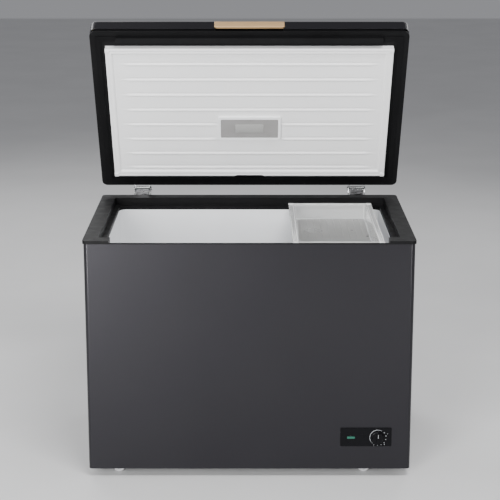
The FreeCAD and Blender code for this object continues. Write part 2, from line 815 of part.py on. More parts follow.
def compressor_bay():
    """Base plate, compressor on four rubber grommets, relay, drier, tubes and grille."""
    x, y = d.compressor_x, d.compressor_y
    plate_top = deck_top + 2
    side = wrap_half - d.sheet_steel
    plate = box(
        d.bay_side + 4, side - 4, size(-195), panel_back - d.sheet_steel - 2, deck_top, plate_top
    )
    reach = d.foot_stance
    stance = [(x + sx * reach, y + sy * reach) for sx in (-1, 1) for sy in (-1, 1)]
    bolt_hole = d.foot_bolt + 0.2
    holes = [rod("Z", (px, py, deck_top - PASS), bolt_hole, 4) for px, py in stance]
    finish(cut(plate, fuse(holes)), "compressor_base")

    feet_level = plate_top + d.mount_rise
    grommets = []
    for px, py in stance:
        sleeve = rod("Z", (px, py, plate_top), 10, d.mount_rise)
        collar = rod("Z", (px, py, feet_level + 2), 8.5, 3)
        bore = rod("Z", (px, py, plate_top - PASS), bolt_hole, d.mount_rise + 8)
        neck = rod("Z", (px, py, feet_level), 5.8, 2.5)
        grommets.append(cut(fuse([sleeve, neck, collar]), bore))
    finish(group(grommets), "compressor_grommets")
    bolts = []
    for px, py in stance:
        shank = rod("Z", (px, py, deck_top - 3), d.foot_bolt, d.mount_rise + 14)
        head = rod("Z", (px, py, plate_top + d.mount_rise + 5), 8, 5)
        bolts.append(fuse([shank, head]))
    finish(group(bolts), "compressor_bolts")

    foot = box(x - 74, x + 74, y - 74, y + 74, feet_level, feet_level + 2)
    foot_holes = [rod("Z", (px, py, feet_level - PASS), 6, 4) for px, py in stance]
    shell = document.addObject("PartDesign::Body", "Body_compressor_shell")
    outer = d.compressor_radius
    tall = d.compressor_height
    wall = d.compressor_shell
    turned(
        shell,
        "XZ",
        "V_Axis",
        (AXIS, 0),
        (outer * 0.8, 0),
        (outer, 14),
        (outer, tall * 0.55),
        (outer + 4, tall * 0.55),
        (outer + 4, tall * 0.55 + 4),
        (outer, tall * 0.55 + 4),
        (outer, tall - 22),
        (outer * 0.82, tall - 6),
        (outer * 0.5, tall),
        (AXIS, tall),
        (AXIS, tall - wall),
        (outer * 0.48, tall - wall),
        (outer * 0.8 - wall, tall - 8),
        (outer - wall, tall - 24),
        (outer - wall, 16),
        (outer * 0.78, wall),
        (AXIS, wall),
    )
    put(shell, x, y, feet_level + 2)
    finish(fuse([cut(foot, fuse(foot_holes)), shell]), "compressor")
    pump = rod("Z", (x, y, feet_level + 12), d.compressor_radius * 0.6, d.compressor_height * 0.62)
    finish(pump, "compressor_pump")

    relay_front = y - d.compressor_radius - 34
    relay = box(x - 26, x + 26, relay_front, relay_front + 30, feet_level + 30, feet_level + 82)
    finish(relay, "start_relay")


def refrigerant_tubes():
    """Condenser on the inside of the wrap, evaporator on the outside of the liner, and lines."""
    radius = d.tube_radius.value
    pitch = d.coil_pitch.value
    bend = pitch / 2 - 0.5
    clear = radius + 0.6

    def serpentine(left, near, far, right, low, rows):
        """Runs round three sides, one above another, with turns between them."""
        points = []
        for row in range(rows):
            level = low + row * pitch
            lap = [(right, near), (left, near), (left, far), (right - 6, far)]
            if row % 2:
                lap.reverse()
            points += [(px, py, level) for px, py in lap]
        return points

    skin = (foam_half + d.foam_gap).value - clear
    near = (foam_front - d.foam_gap).value + clear
    far = (foam_back + d.foam_gap).value - clear
    tube(
        "condenser_coil",
        serpentine(-skin, near, far, d.bay_side.value - 20, 330.0, 7),
        bend,
        radius,
    )
    tub = (mouth_half + d.liner_wall).value + clear
    tub_near = (mouth_front - d.liner_wall).value - clear
    tub_far = (mouth_back + d.liner_wall).value + clear
    tube(
        "evaporator_coil",
        serpentine(-tub, tub_near, tub_far, d.step_side.value - 20, 160.0, 10),
        bend,
        radius,
    )
    x, y = d.compressor_x.value, d.compressor_y.value
    side = d.compressor_radius.value
    low = deck_top.value + 60
    tube(
        "suction_line",
        [(x - side, y, low), (x - side - 18, y, low), (x - side - 18, y, 250), (x - side - 18, y - 90, 250)],
        9,
        radius,
    )
    tube(
        "discharge_line",
        [(x, y - side - 2, 190), (x, -80, 190), (x, -80, 120), (x + 60, -80, 120)],
        12,
        radius,
    )
    drier = document.addObject("PartDesign::Body", "Body_filter_drier")
    turned(
        drier,
        "XZ",
        "V_Axis",
        (AXIS, 0),
        (3.4, 0),
        (3.4, 8),
        (10, 16),
        (10, 84),
        (3.4, 94),
        (3.4, 104),
        (AXIS, 104),
    )
    put(drier, 300, 40, 120)
    finish(drier, "filter_drier")


def compressor_grille():
    """Slotted cover over the compressor bay's opening in the back panel."""
    body = new_body("compressor_grille")
    left = vent_left - 6
    low = deck_top + 1
    wide = d.vent_width + 12
    tall = d.vent_height + 8
    pad(body, "XZ", panel_back, panel_back + 2, rectangle(left, left + wide, low, low + tall))
    for share in (0.06, 0.54):
        first = rectangle(
            left + wide * share,
            left + wide * (share + 0.4),
            low + 40,
            low + 40 + d.vent_slot,
            1.5,
        )
        slot = pocket(body, "XZ", panel_back - PASS, panel_back + 2 + PASS, first)
        repeat(body, slot, "V_Axis", d.vent_pitch, d.vent_rows)
    hole = disc(d.gland_x, d.gland_level, d.gland_neck + FIT)
    pocket(body, "XZ", panel_back - PASS, panel_back + 2 + PASS, hole)
    screws = []
    for sx in (6, wide - 6):
        for sz in (6, tall - 6):
            head = rod("Y", (left + sx, panel_back + 2, low + sz), 4, 1.8)
            shank = rod("Y", (left + sx, panel_back - 6, low + sz), 1.9, 8)
            screws.append(fuse([head, shank]))
    finish(group(screws), "grille_screws")


def back_fittings():
    """Wall spacers, and the gland in the grille that the mains lead leaves through."""
    spacers = []
    for x, z in ((-440, 180), (-440, 560), (130, 180), (440, 560)):
        stem = rod("Y", (x, panel_back, z), 14, 24)
        nose = rod("Y", (x, panel_back + 24, z), 10, 6)
        spacers.append(fuse([stem, nose]))
    finish(group(spacers), "wall_spacers")
    x, z = d.gland_x, d.gland_level
    rings = (
        # start behind the panel's face, radius, length
        (-3, d.gland_neck + 3, 3),
        (0, d.gland_neck, 2),
        (2, d.gland_neck + 4, 3),
        (5, d.gland_neck + 1.3, 9),
    )
    gland = fuse([rod("Y", (x, panel_back + start, z), radius, long) for start, radius, long in rings])
    passage = rod("Y", (x, panel_back - 4, z), d.gland_bore, 20)
    finish(cut(gland, passage), "cord_gland")


def drain():
    """Plug in the liner's floor over a short drain tube that leaves through the bottom."""
    x, y = d.drain_x, d.drain_y
    spout_end = d.deck_level - 8
    reach = d.liner_floor - d.liner_wall - FIT - spout_end
    spout = rod("Z", (x, y, spout_end), d.drain_radius, reach)
    bore = rod("Z", (x, y, spout_end - PASS), d.drain_radius - 3, reach + 2 * PASS)
    finish(cut(spout, bore), "drain_tube")
    plug = new_body("drain_plug")
    turned(
        plug,
        "XZ",
        "V_Axis",
        (AXIS, -10),
        (10, -10),
        (10.6, FIT),
        (19, FIT),
        (19, 3),
        (6, 4),
        (4.5, 10),
        (7, 12),
        (7, 15),
        (AXIS, 15),
    )
    put(plug, x, y, d.liner_floor)


# ---------------------------------------------------------------- hinges


def hinges():
    """Two counterbalanced hinges: fixed housings behind the cabinet, arms on the lid."""
    steel = d.hinge_steel
    screws = []
    arm_screws = []
    pins = []
    cam_pins = []
    lean = math.radians(d.lid_angle.value / 2)
    cam_y = pivot_y - d.cam_throw * math.cos(lean)
    cam_closed = pivot_z - d.cam_throw * math.sin(lean)
    cam_open = pivot_z + d.cam_throw * math.sin(lean)
    for word, side in (("left", -1), ("right", 1)):
        x = d.hinge_centre * side
        hinge_housing(word, x)
        hinge_arm(word, x)
        low = rim - d.housing_drop
        for sx in (-36, 36):
            for drop in (30, 110):
                head = rod("Y", (x + sx, panel_back + steel, rim - drop), d.screw_head, 2)
                shank = rod("Y", (x + sx, panel_back - 8, rim - drop), d.screw_radius, 8 + steel)
                screws.append(fuse([head, shank]))
        pin = rod("X", (x - d.ear_half - 1, pivot_y, pivot_z), d.pin_radius, 2 * d.ear_half + 2)
        head_radius = d.pin_radius + 2.5
        head = rod("X", (x - d.ear_half - 3, pivot_y, pivot_z), head_radius, 3)
        nut = rod("X", (x + d.ear_half, pivot_y, pivot_z), head_radius, 3)
        pins.append(fuse([pin, head, nut]))
        cam = rod("X", (x - d.arm_half, cam_y, cam_closed), d.pin_radius, 2 * d.arm_half)
        cam_pins.append(cam)
        for sx in (-18, 18):
            for rise in (24, 44):
                head = rod("Y", (x + sx, back + steel, underside + rise), d.screw_head, 2)
                shank = rod("Y", (x + sx, back - 10, underside + rise), d.screw_radius, 10 + steel)
                arm_screws.append(fuse([head, shank]))
        top = cam_open - d.pin_radius - d.slide_gap
        foot = rim - d.plunger_foot
        middle = back + 14.5
        plunger = new_body("hinge_plunger_" + word)
        wide = d.plunger_half
        guide = d.arm_half
        pad(plunger, "XY", foot, top, rectangle(x - wide, x + wide, back + 7, back + 22, 2))
        pad(plunger, "XY", foot, foot + 8, rectangle(x - guide, x + guide, back + 7, back + 26, 2))
        pad(plunger, "XY", foot - 10, foot, disc(x, middle, 4.5))
        spring = new_body("hinge_spring_" + word)
        wire_gap = 0.2
        helix = spring.newObject("PartDesign::AdditiveHelix", "helix")
        profile = section(spring, "XZ", 0, [disc(d.spring_radius, 0, d.spring_wire)])
        helix.Profile = profile
        helix.ReferenceAxis = (profile, ["V_Axis"])
        helix.Mode = 1
        helix.Angle = 0
        helix.Growth = 0
        free = d.spring_seat - d.plunger_foot - 2 * d.spring_wire - 2 * wire_gap
        helix.setExpression("Pitch", (free / d.spring_turns).formula)
        helix.setExpression("Turns", d.spring_turns.formula)
        spring.Tip = helix
        put(spring, x, middle, rim - d.spring_seat + d.spring_wire + wire_gap)
    finish(group(screws), "hinge_housing_screws")
    finish(group(pins), "hinge_pins")
    open_lid(finish(group(cam_pins), "hinge_cam_pins"))
    open_lid(finish(group(arm_screws), "hinge_arm_screws"))


def hinge_housing(word, x):
    """Channel of folded steel on the back panel, with two ears that hold the hinge pin."""
    body = new_body("hinge_housing_" + word)
    steel = d.hinge_steel
    outer = d.ear_half
    low = rim - d.housing_drop
    rear = back + d.housing_depth
    top = rim - 12
    pad(body, "XY", low, top, rectangle(x - outer, x + outer, panel_back, rear))
    pocket(
        body,
        "XY",
        low - PASS,
        top + PASS,
        rectangle(x - outer + steel, x + outer - steel, panel_back - PASS, rear - steel),
    )
    flange = 16
    for inner, outer_edge in ((outer, outer + flange), (-outer - flange, -outer)):
        pad(
            body,
            "XY",
            low,
            top,
            rectangle(x + inner, x + outer_edge, panel_back, panel_back + steel),
        )
    for low_x in (-outer, outer - steel):
        ear = polygon(
            (panel_back + 12, top - PASS),
            (rear, top - PASS),
            (rear, rim + 18),
            (pivot_y + 4, pivot_z + 9),
            (pivot_y - 8, pivot_z + 9),
            (panel_back + 12, rim + 6),
        )
        pad(body, "YZ", x + low_x, x + low_x + steel, ear)
    seat = rim - d.spring_seat
    pad(
        body,
        "XY",
        seat - steel,
        seat,
        rectangle(x - outer + steel, x + outer - steel, back + 4, rear - steel),
    )
    pocket(
        body, "YZ", x - outer - PASS, x + outer + PASS, disc(pivot_y, pivot_z, d.pin_radius)
    )


def hinge_arm(word, x):
    """Folded arm: a web on the lid's rear edge and two cheeks down to the hinge pin."""
    body = new_body("hinge_arm_" + word)
    steel = d.hinge_steel
    outer = d.arm_half
    web = rectangle(x - outer, x + outer, underside + 14, underside + 52)
    pad(body, "XZ", back, back + steel, web)
    for low_x in (-outer, outer - steel):
        cheek = polygon(
            (back, underside + 52),
            (back, underside + 9),
            (back + 12, rim + 2),
            (back + 30, rim + 4),
            (back + 37, rim + 10),
            (back + 37, rim + 20),
            (back + 10, underside + 52),
        )
        pad(body, "YZ", x + low_x, x + low_x + steel, cheek)
    bore = d.pin_radius + d.pin_clearance
    pocket(body, "YZ", x - outer - PASS, x + outer + PASS, disc(pivot_y, pivot_z, bore))
    lean = math.radians(d.lid_angle.value / 2)
    cam_y = pivot_y - d.cam_throw * math.cos(lean)
    cam_z = pivot_z - d.cam_throw * math.sin(lean)
    pocket(body, "YZ", x - outer - PASS, x + outer + PASS, disc(cam_y, cam_z, d.pin_radius))
    open_lid(body)


# ---------------------------------------------------------------- lid


def lid_band(inset, radius=None):
    return rectangle(inset - half, half - inset, lid_front + inset, back - inset, radius)


def collar_band(inset, radius=None):
    side = half - d.collar_side - inset
    return rectangle(
        -side, side, lid_front + d.collar_front + inset, back - d.collar_back - inset, radius
    )


def lid_skin():
    """Folded steel top of the lid, open below and cut away for the handle."""
    body = new_body("lid_skin")
    top = underside + d.lid_height
    pad(body, "XY", underside + d.groove_top, top, lid_band(size(0), d.lid_radius))
    rounded(body, d.lid_edge_radius, flat_at(top))
    hollowed(body, d.sheet_steel, True, flat_at(underside + d.groove_top))
    wide = d.handle_width / 2 - 1
    window = rectangle(
        -wide, wide, underside + d.groove_top - PASS, underside + d.handle_top - 1
    )
    pocket(body, "XZ", lid_front - PASS, lid_front + 2 * PASS, window)
    open_lid(body)


def lid_frame():
    """Black plastic frame under the skin: outer rim, groove wall and flat underside."""
    body = new_body("lid_frame")
    wall = d.moulding
    corner = d.lid_radius
    groove = d.groove_depth
    pad(
        body,
        "XY",
        underside,
        underside + wall,
        lid_band(size(0), corner),
        lid_band(d.border_width),
    )
    pad(
        body,
        "XY",
        underside + wall,
        underside + d.rim_height,
        lid_band(size(0), corner),
        lid_band(groove + wall, corner - groove - wall),
    )
    pad(
        body,
        "XY",
        underside + d.rim_height,
        underside + d.groove_top + 5,
        lid_band(groove, corner - groove),
        lid_band(groove + wall, corner - groove - wall),
    )
    wide = d.handle_width / 2 - 1
    gap = rectangle(
        -wide, wide, underside + d.rim_height, underside + d.groove_top + 5 + PASS
    )
    pocket(body, "XZ", lid_front - PASS, lid_front + groove + wall + PASS, gap)
    open_lid(body)


def handle_cup():
    """Open-fronted cup behind the handle strip, where the fingers go."""
    body = new_body("handle_cup")
    wide = d.handle_width / 2 - 1.3
    wall = size(2)
    low = underside + d.rim_height + 0.2
    high = underside + d.handle_top - 1.2
    near = lid_front + d.sheet_steel + d.handle_plate / 2
    far = lid_front + d.grip_depth
    pad(body, "XZ", near, far, rectangle(-wide, wide, low, high))
    hollow = rectangle(wall - wide, wide - wall, low + wall, high - wall)
    pocket(body, "XZ", near - PASS, far - wall, hollow)
    open_lid(body)


def lid_handle():
    """Champagne strip across the lid's front edge, with a lip turned in below for a grip."""
    body = new_body("lid_handle")
    wide = d.handle_width / 2
    low = underside + d.handle_base
    high = underside + d.handle_top
    face = lid_front - d.handle_plate / 2
    rear = face + d.handle_plate
    pad(body, "XZ", face, lid_front, rectangle(-wide, wide, low, high))
    pad(body, "XZ", lid_front, rear, rectangle(1.3 - wide, wide - 1.3, low, high - 1.2))
    pad(body, "XZ", rear, rear + 5, rectangle(4 - wide, wide - 4, low, low + 2))
    open_lid(body)


def lid_inner_panel():
    """White pan under the lid: a raised collar round a field with long shallow grooves."""
    body = new_body("lid_inner_panel")
    wall = d.pan_wall
    inset = d.collar_width + 2
    pan = collar_band(inset, d.pan_radius)
    well = collar_band(inset + wall, d.pan_radius - wall)
    reach = underside - d.collar_reach
    pad(body, "XY", underside - wall, underside, collar_band(size(0), 6), well)
    pad(body, "XY", underside - d.pan_drop, underside - wall, pan)
    pocket(body, "XY", underside - d.pan_drop + wall, underside + PASS, well)
    pad(body, "XY", reach, underside - wall, collar_band(size(0), 6), collar_band(d.collar_width, 6))
    groove = (collar_band(size(7), 4), collar_band(d.collar_width - 7, 4))
    pocket(body, "XY", reach - PASS, reach + 2, *groove)
    edge = back - d.collar_back
    notch = rectangle(-d.collar_notch / 2, d.collar_notch / 2, edge - 4, edge + PASS)
    pocket(body, "XY", reach - PASS, reach + 12, notch)
    first = back - d.flute_first
    long = d.flute_half_length
    flute = pocket(
        body,
        "XY",
        underside - d.pan_drop - PASS,
        underside - d.pan_drop + d.flute_depth,
        rectangle(-long, long, first - d.flute_width / 2, first + d.flute_width / 2, 1.9),
    )
    repeat(body, flute, "V_Axis", d.flute_pitch, d.flute_count, backwards=True)
    open_lid(body)


def lid_gasket():
    """Rubber seal that meets the frame's flat top; in front it is a wedge that fills the dip."""
    body = new_body("lid_gasket")
    low = rim + d.gasket_squeeze
    inner = d.gasket_inset + d.gasket_width
    pad(body, "XY", low, underside, lid_band(d.gasket_inset, 8), lid_band(inner, 6))
    pad(body, "XY", low + 1, underside, lid_band(inner, 6), lid_band(inner + 4, 6))
    near = lid_front + d.gasket_inset
    far = lid_front + inner
    fall = (d.ledge_drop - d.dip_drop) / (d.flat_width - d.dip_lip)
    start = front + d.dip_lip
    lip = rim - d.dip_drop + 2 * d.gasket_squeeze
    wedge = polygon(
        (near, underside),
        (near, lip - (near - start) * fall),
        (far, lip - (far - start) * fall),
        (far, underside),
    )
    wide = d.dip_half_width - 2
    pad(body, "YZ", -wide, wide, wedge)
    open_lid(body)


def lid_foam():
    """Foamed core of the lid, clear of the finger cup."""
    gap = d.foam_gap
    inset = d.groove_depth + d.moulding + gap
    corner = d.lid_radius - inset
    block = document.addObject("PartDesign::Body", "Body_lid_core")
    low = underside + d.moulding + gap
    high = underside + d.lid_height - d.sheet_steel - gap
    pad(block, "XY", low, high, lid_band(inset, corner))
    keel_inset = d.collar_width + 2 + d.pan_wall + gap
    keel = collar_band(keel_inset, d.pan_radius - d.pan_wall)
    pad(block, "XY", underside - d.pan_drop + d.pan_wall + gap, low, keel)
    wide = d.handle_width / 2
    hollow = box(
        -wide,
        wide,
        lid_front,
        lid_front + d.grip_depth + gap,
        underside,
        underside + d.handle_top,
    )
    open_lid(finish(cut(block, hollow), "lid_foam"))


def lid_lamp():
    """Lamp on the inner panel: a white tray, its light board and a clouded lens."""
    y = back - d.lamp_centre
    field = underside - d.pan_drop
    low = field - d.lamp_height
    wide = d.lamp_width / 2
    deep = d.lamp_depth / 2
    border = d.lamp_border
    tray = new_body("lamp_housing")
    pad(tray, "XY", low, field, rectangle(-wide, wide, y - deep, y + deep, 8))
    well = rectangle(
        border - wide, wide - border, y - deep + border, y + deep - border, 4
    )
    pocket(tray, "XY", low - PASS, field - 1, well)
    open_lid(tray)
    lens = new_body("lamp_lens")
    fit = border + FIT
    glass = rectangle(fit - wide, wide - fit, y - deep + fit, y + deep - fit, 3.7)
    pad(lens, "XY", low + 1, low + 3.5, glass)
    pad(lens, "XY", low - 0.5, low + 1, rectangle(-46, 46, y - 18, y + 18, 2))
    open_lid(lens)
    board = new_body("lamp_board")
    pad(board, "XY", field - 2.2, field - 1, rectangle(-80, 80, y - 8, y + 8))
    open_lid(board)


# ---------------------------------------------------------------- basket and rollers


def storage_basket():
    """Shallow clear tray whose rim rides on the frame's ledges, front and back."""
    body = new_body("storage_basket")
    gap = d.slide_gap
    left = d.basket_left
    right = left + d.basket_width
    near = front + d.flat_width + 2
    far = back - d.flat_width - 2
    top = ledge + d.basket_rim
    rim_low = ledge + gap
    low = top - d.basket_drop
    wall = d.basket_wall
    ledge_width = d.mouth_inset - d.flat_width
    inset = ledge_width + 1
    edge = d.basket_rim_width
    pad(body, "XY", rim_low, top, rectangle(left, right, near, far, 8))
    tub_left = left + edge - wall
    tub_right = right - edge + wall
    tub_near = near + inset
    tub_far = far - inset
    corner = size(6)
    pad(body, "XY", low, rim_low, rectangle(tub_left, tub_right, tub_near, tub_far, corner))
    hollow = rectangle(
        tub_left + wall, tub_right - wall, tub_near + wall, tub_far - wall, corner - wall
    )
    pocket(body, "XY", low + wall, top + PASS, hollow)


def rollers():
    """Four plain rollers on axles that run front to back, each in a folded bracket."""
    brackets = []
    axles = []
    places = (
        ("front_left", d.roller_left, d.roller_front),
        ("front_right", d.roller_right, d.roller_front),
        ("back_left", d.roller_left, d.roller_back),
        ("back_right", d.roller_right, d.roller_back),
    )
    radius = d.roller_radius
    span = d.roller_width / 2
    bore = d.axle_radius + d.axle_clearance
    for word, x, y in places:
        body = new_body("roller_" + word)
        turned(
            body,
            "YZ",
            "H_Axis",
            (-span, bore),
            (-span, radius - 6),
            (-span + 2, radius - 5),
            (-span + 2, radius - 1.5),
            (-span + 3.5, radius),
            (span - 3.5, radius),
            (span - 2, radius - 1.5),
            (span - 2, radius - 5),
            (span, radius - 6),
            (span, bore),
        )
        put(body, x, y, radius)
        cheek_top = d.deck_level
        crown = box(x - 22, x + 22, y - span - 4, y + span + 4, cheek_top - 2, cheek_top)
        cheeks = []
        for low_y in (y - span - 3, y + span + 1):
            plate = box(x - 10, x + 10, low_y, low_y + 2, radius, cheek_top - 1)
            eye = rod("Y", (x, low_y, radius), 10, 2)
            cheeks.append(fuse([plate, eye]))
        hole = rod("Y", (x, y - span - 5, radius), d.axle_radius, 2 * span + 10)
        brackets.append(cut(fuse([crown] + cheeks), hole))
        pin = rod("Y", (x, y - span - 4, radius), d.axle_radius, 2 * span + 8)
        axles.append(pin)
    finish(group(brackets), "roller_brackets")
    finish(group(axles), "roller_axles")


# ---------------------------------------------------------------- build, test, write


def build():
    outer_shell()
    back_panel()
    bottom_panel()
    insulation_foam()
    inner_liner()
    frame_rails()
    control_panel()
    indicator_lens()
    indicator_lamp()
    thermostat()
    thermostat_knob()
    compressor_bay()
    refrigerant_tubes()
    compressor_grille()
    back_fittings()
    drain()
    hinges()
    lid_skin()
    lid_frame()
    handle_cup()
    lid_handle()
    lid_inner_panel()
    lid_gasket()
    lid_foam()
    lid_lamp()
    storage_basket()
    rollers()
    document.recompute()


def test():
    """Stops on a failed object, a cut that removes nothing or a sub-part that isn't sound."""
    for part in document.Objects:
        if "Invalid" in part.State or "Error" in part.State:
            raise RuntimeError(f"{part.Label} ({part.TypeId}) failed: {part.State}")
        if part.TypeId == "PartDesign::Pocket":
            before = part.BaseFeature.Shape.Volume
            if before - part.Shape.Volume < 0.1:
                raise RuntimeError(f"{part.Label}, in {part.getParentGeoFeatureGroup().Label}, cuts nothing")
    for name, part in finished.items():
        if part.Shape.isNull() or not part.Shape.isValid():
            raise RuntimeError(f"{name}: its shape isn't valid")
        if not part.Shape.Solids:
            raise RuntimeError(f"{name}: it has no solid")


def write():
    os.makedirs("parts", exist_ok=True)
    for name, part in finished.items():
        part.Shape.exportStep(os.path.join("parts", name + ".step"))
        box_of_part = part.Shape.BoundBox
        print(
            f"{name:24s} {len(part.Shape.Solids):2d} solids {part.Shape.Volume / 1000:10.1f} cm3"
            f"  y {box_of_part.YMin:7.1f} {box_of_part.YMax:7.1f}"
            f"  z {box_of_part.ZMin:7.1f} {box_of_part.ZMax:7.1f}"
        )
    print(len(finished), "sub-parts")


build()
test()
write()
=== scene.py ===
import json
import math

import bmesh
import bpy
from mathutils import Matrix, Vector


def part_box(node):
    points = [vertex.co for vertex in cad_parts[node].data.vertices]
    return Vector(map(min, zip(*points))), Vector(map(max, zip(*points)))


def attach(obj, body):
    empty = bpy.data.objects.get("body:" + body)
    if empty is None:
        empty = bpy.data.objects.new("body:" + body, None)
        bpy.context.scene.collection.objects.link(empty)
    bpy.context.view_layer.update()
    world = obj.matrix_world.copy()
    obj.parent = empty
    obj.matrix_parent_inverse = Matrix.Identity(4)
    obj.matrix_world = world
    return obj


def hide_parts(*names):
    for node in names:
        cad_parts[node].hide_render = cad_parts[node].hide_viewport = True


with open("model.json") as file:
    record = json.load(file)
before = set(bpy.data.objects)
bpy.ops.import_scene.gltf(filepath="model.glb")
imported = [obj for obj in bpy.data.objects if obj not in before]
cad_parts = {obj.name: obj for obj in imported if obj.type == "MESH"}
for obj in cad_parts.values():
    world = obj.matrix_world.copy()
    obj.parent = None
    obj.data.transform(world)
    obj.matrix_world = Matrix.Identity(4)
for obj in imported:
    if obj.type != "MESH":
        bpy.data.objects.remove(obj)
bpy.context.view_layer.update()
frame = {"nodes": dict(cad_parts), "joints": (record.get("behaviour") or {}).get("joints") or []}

# Looks for a chest freezer that stands open. Metres, +Z up, -Y to the front.

MM = 0.001
JOINTS = {joint["name"]: joint for joint in frame["joints"]}
HINGE = JOINTS["lid_hinge"]
PIVOT = Vector(HINGE["pos_m"])
SWING = (
    Matrix.Translation(PIVOT)
    @ Matrix.Rotation(-math.radians(HINGE["range_deg"][1]), 4, "X")
    @ Matrix.Translation(-PIVOT)
)


# ---------------------------------------------------------------- materials


class Surface:
    """A Principled material whose colour, roughness and relief come from noise in object space."""

    def __init__(self, name, **sockets):
        self.material = bpy.data.materials.new(name)
        self.material.use_nodes = True
        self.tree = self.material.node_tree
        self.shader = self.tree.nodes["Principled BSDF"]
        for socket, value in sockets.items():
            self.shader.inputs[socket.replace("_", " ")].default_value = value
        self.coordinates = self.node("ShaderNodeTexCoord").outputs["Object"]

    def node(self, kind, **settings):
        made = self.tree.nodes.new(kind)
        for name, value in settings.items():
            setattr(made, name, value)
        return made

    def join(self, source, target):
        self.tree.links.new(source, target)

    def stretched(self, stretch):
        mapping = self.node("ShaderNodeMapping")
        mapping.inputs["Scale"].default_value = stretch
        self.join(self.coordinates, mapping.inputs["Vector"])
        return mapping.outputs["Vector"]

    def noise(self, scale, stretch=(1, 1, 1), detail=3.0):
        made = self.node("ShaderNodeTexNoise")
        made.inputs["Scale"].default_value = scale
        made.inputs["Detail"].default_value = detail
        self.join(self.stretched(stretch), made.inputs["Vector"])
        return made.outputs["Fac"]

    def cells(self, scale):
        made = self.node("ShaderNodeTexVoronoi", feature="SMOOTH_F1")
        made.inputs["Scale"].default_value = scale
        self.join(self.coordinates, made.inputs["Vector"])
        return made.outputs["Distance"]

    def span(self, value, low, high, start=0.3, end=0.7):
        """The value between start and end, spread from low to high."""
        made = self.node("ShaderNodeMapRange")
        limits = {"From Min": start, "From Max": end, "To Min": low, "To Max": high}
        for socket, limit in limits.items():
            made.inputs[socket].default_value = limit
        self.join(value, made.inputs["Value"])
        return made.outputs["Result"]

    def colour(self, factor, dark, light):
        made = self.node("ShaderNodeMix", data_type="RGBA")
        made.inputs["A"].default_value = (*dark, 1)
        made.inputs["B"].default_value = (*light, 1)
        self.join(factor, made.inputs["Factor"])
        self.join(made.outputs["Result"], self.shader.inputs["Base Color"])

    def relief(self, height, depth, edge=0.0):
        """Bumps of a real depth, on edges that look rounded to a small radius."""
        bump = self.node("ShaderNodeBump")
        bump.inputs["Distance"].default_value = depth
        self.join(height, bump.inputs["Height"])
        if edge:
            bevel = self.node("ShaderNodeBevel", samples=4)
            bevel.inputs["Radius"].default_value = edge
            self.join(bevel.outputs["Normal"], bump.inputs["Normal"])
        self.join(bump.outputs["Normal"], self.shader.inputs["Normal"])


def toned(colour, share):
    """The colour made lighter or darker by a share."""
    return tuple(min(1.0, channel * share) for channel in colour)


def coated(name, colour, rough, grain, depth, spread=0.06, tint=0.10, edge=0.0008, **sockets):
    """Plastic, paint or rubber: faint blotches, uneven gloss and a fine moulded grain."""
    made = Surface(name, **sockets)
    made.colour(made.span(made.noise(7.0), 0, 1), toned(colour, 1 - tint), toned(colour, 1 + tint))
    gloss = made.span(made.noise(35.0), rough - spread, rough + spread)
    made.join(gloss, made.shader.inputs["Roughness"])
    made.relief(made.noise(grain, detail=5.0), depth, edge=edge)
    return made.material


def brushed(name, colour, rough, stretch, depth=0.00003, tint=0.16, edge=0.0006, metal=1.0):
    """Metal with fine lines along the axis that is stretched least."""
    made = Surface(name, Metallic=metal)
    lines = made.noise(60.0, stretch, detail=6.0)
    made.colour(made.span(lines, 0, 1), toned(colour, 1 - tint), toned(colour, 1 + tint))
    made.join(made.span(lines, rough - 0.08, rough + 0.10), made.shader.inputs["Roughness"])
    made.relief(lines, depth, edge=edge)
    return made.material


def zinc(name, colour, rough):
    """Zinc coat with pale crystals."""
    made = Surface(name, Metallic=1.0)
    crystals = made.cells(140.0)
    made.colour(made.span(crystals, 0, 1, 0.1, 0.6), toned(colour, 0.82), toned(colour, 1.1))
    made.join(made.span(crystals, rough - 0.08, rough + 0.12, 0.1, 0.6), made.shader.inputs["Roughness"])
    made.relief(made.noise(500.0), 0.00003, edge=0.0006)
    return made.material


def foamed():
    """Rigid foam with small pores."""
    made = Surface("foam", Roughness=0.9)
    pores = made.cells(420.0)
    made.colour(made.span(pores, 0, 1, 0.0, 0.5), (0.55, 0.46, 0.25), (0.80, 0.72, 0.48))
    made.relief(pores, 0.0006)
    return made.material


def steel_paint():
    """Charcoal coat on the folded sheet: fine upright brush lines under a satin lacquer."""
    made = Surface("charcoal_steel", Metallic=0.7, IOR=1.5, Coat_Weight=0.35, Coat_Roughness=0.12)
    lines = made.noise(90.0, (12.0, 12.0, 0.5), detail=4.0)
    made.colour(made.span(lines, 0, 1), (0.0105, 0.0097, 0.0132), (0.0120, 0.0112, 0.0150))
    made.join(made.span(made.noise(5.0), 0.36, 0.42), made.shader.inputs["Roughness"])
    made.relief(lines, 0.000002, edge=0.0012)
    return made.material


def clear_plastic(name, clearness):
    """Colourless plastic of the basket, from milky at 0 to clear at 1."""
    made = Surface(name, IOR=1.45, Transmission_Weight=clearness)
    cloud = made.noise(6.0)
    made.colour(made.span(cloud, 0, 1), (0.92, 0.925, 0.92), (0.96, 0.965, 0.96))
    made.join(made.span(made.noise(9.0), 0.06, 0.10), made.shader.inputs["Roughness"])
    made.relief(made.noise(40.0), 0.00001)
    return made.material


def painted_shade_floor():
    """The basket's floor in dark grey: painted shade for the shadow under the basket, seen through its clear
    floor.
    """
    made = Surface("painted_shade_floor_plastic", IOR=1.45)
    # The dark grey base colour is painted shade, not a tint of the plastic.
    made.colour(made.span(made.noise(6.0), 0, 1), (0.235, 0.235, 0.23), (0.265, 0.265, 0.26))
    made.join(made.span(made.noise(9.0), 0.26, 0.34), made.shader.inputs["Roughness"])
    made.relief(made.noise(90.0), 0.00001)
    return made.material


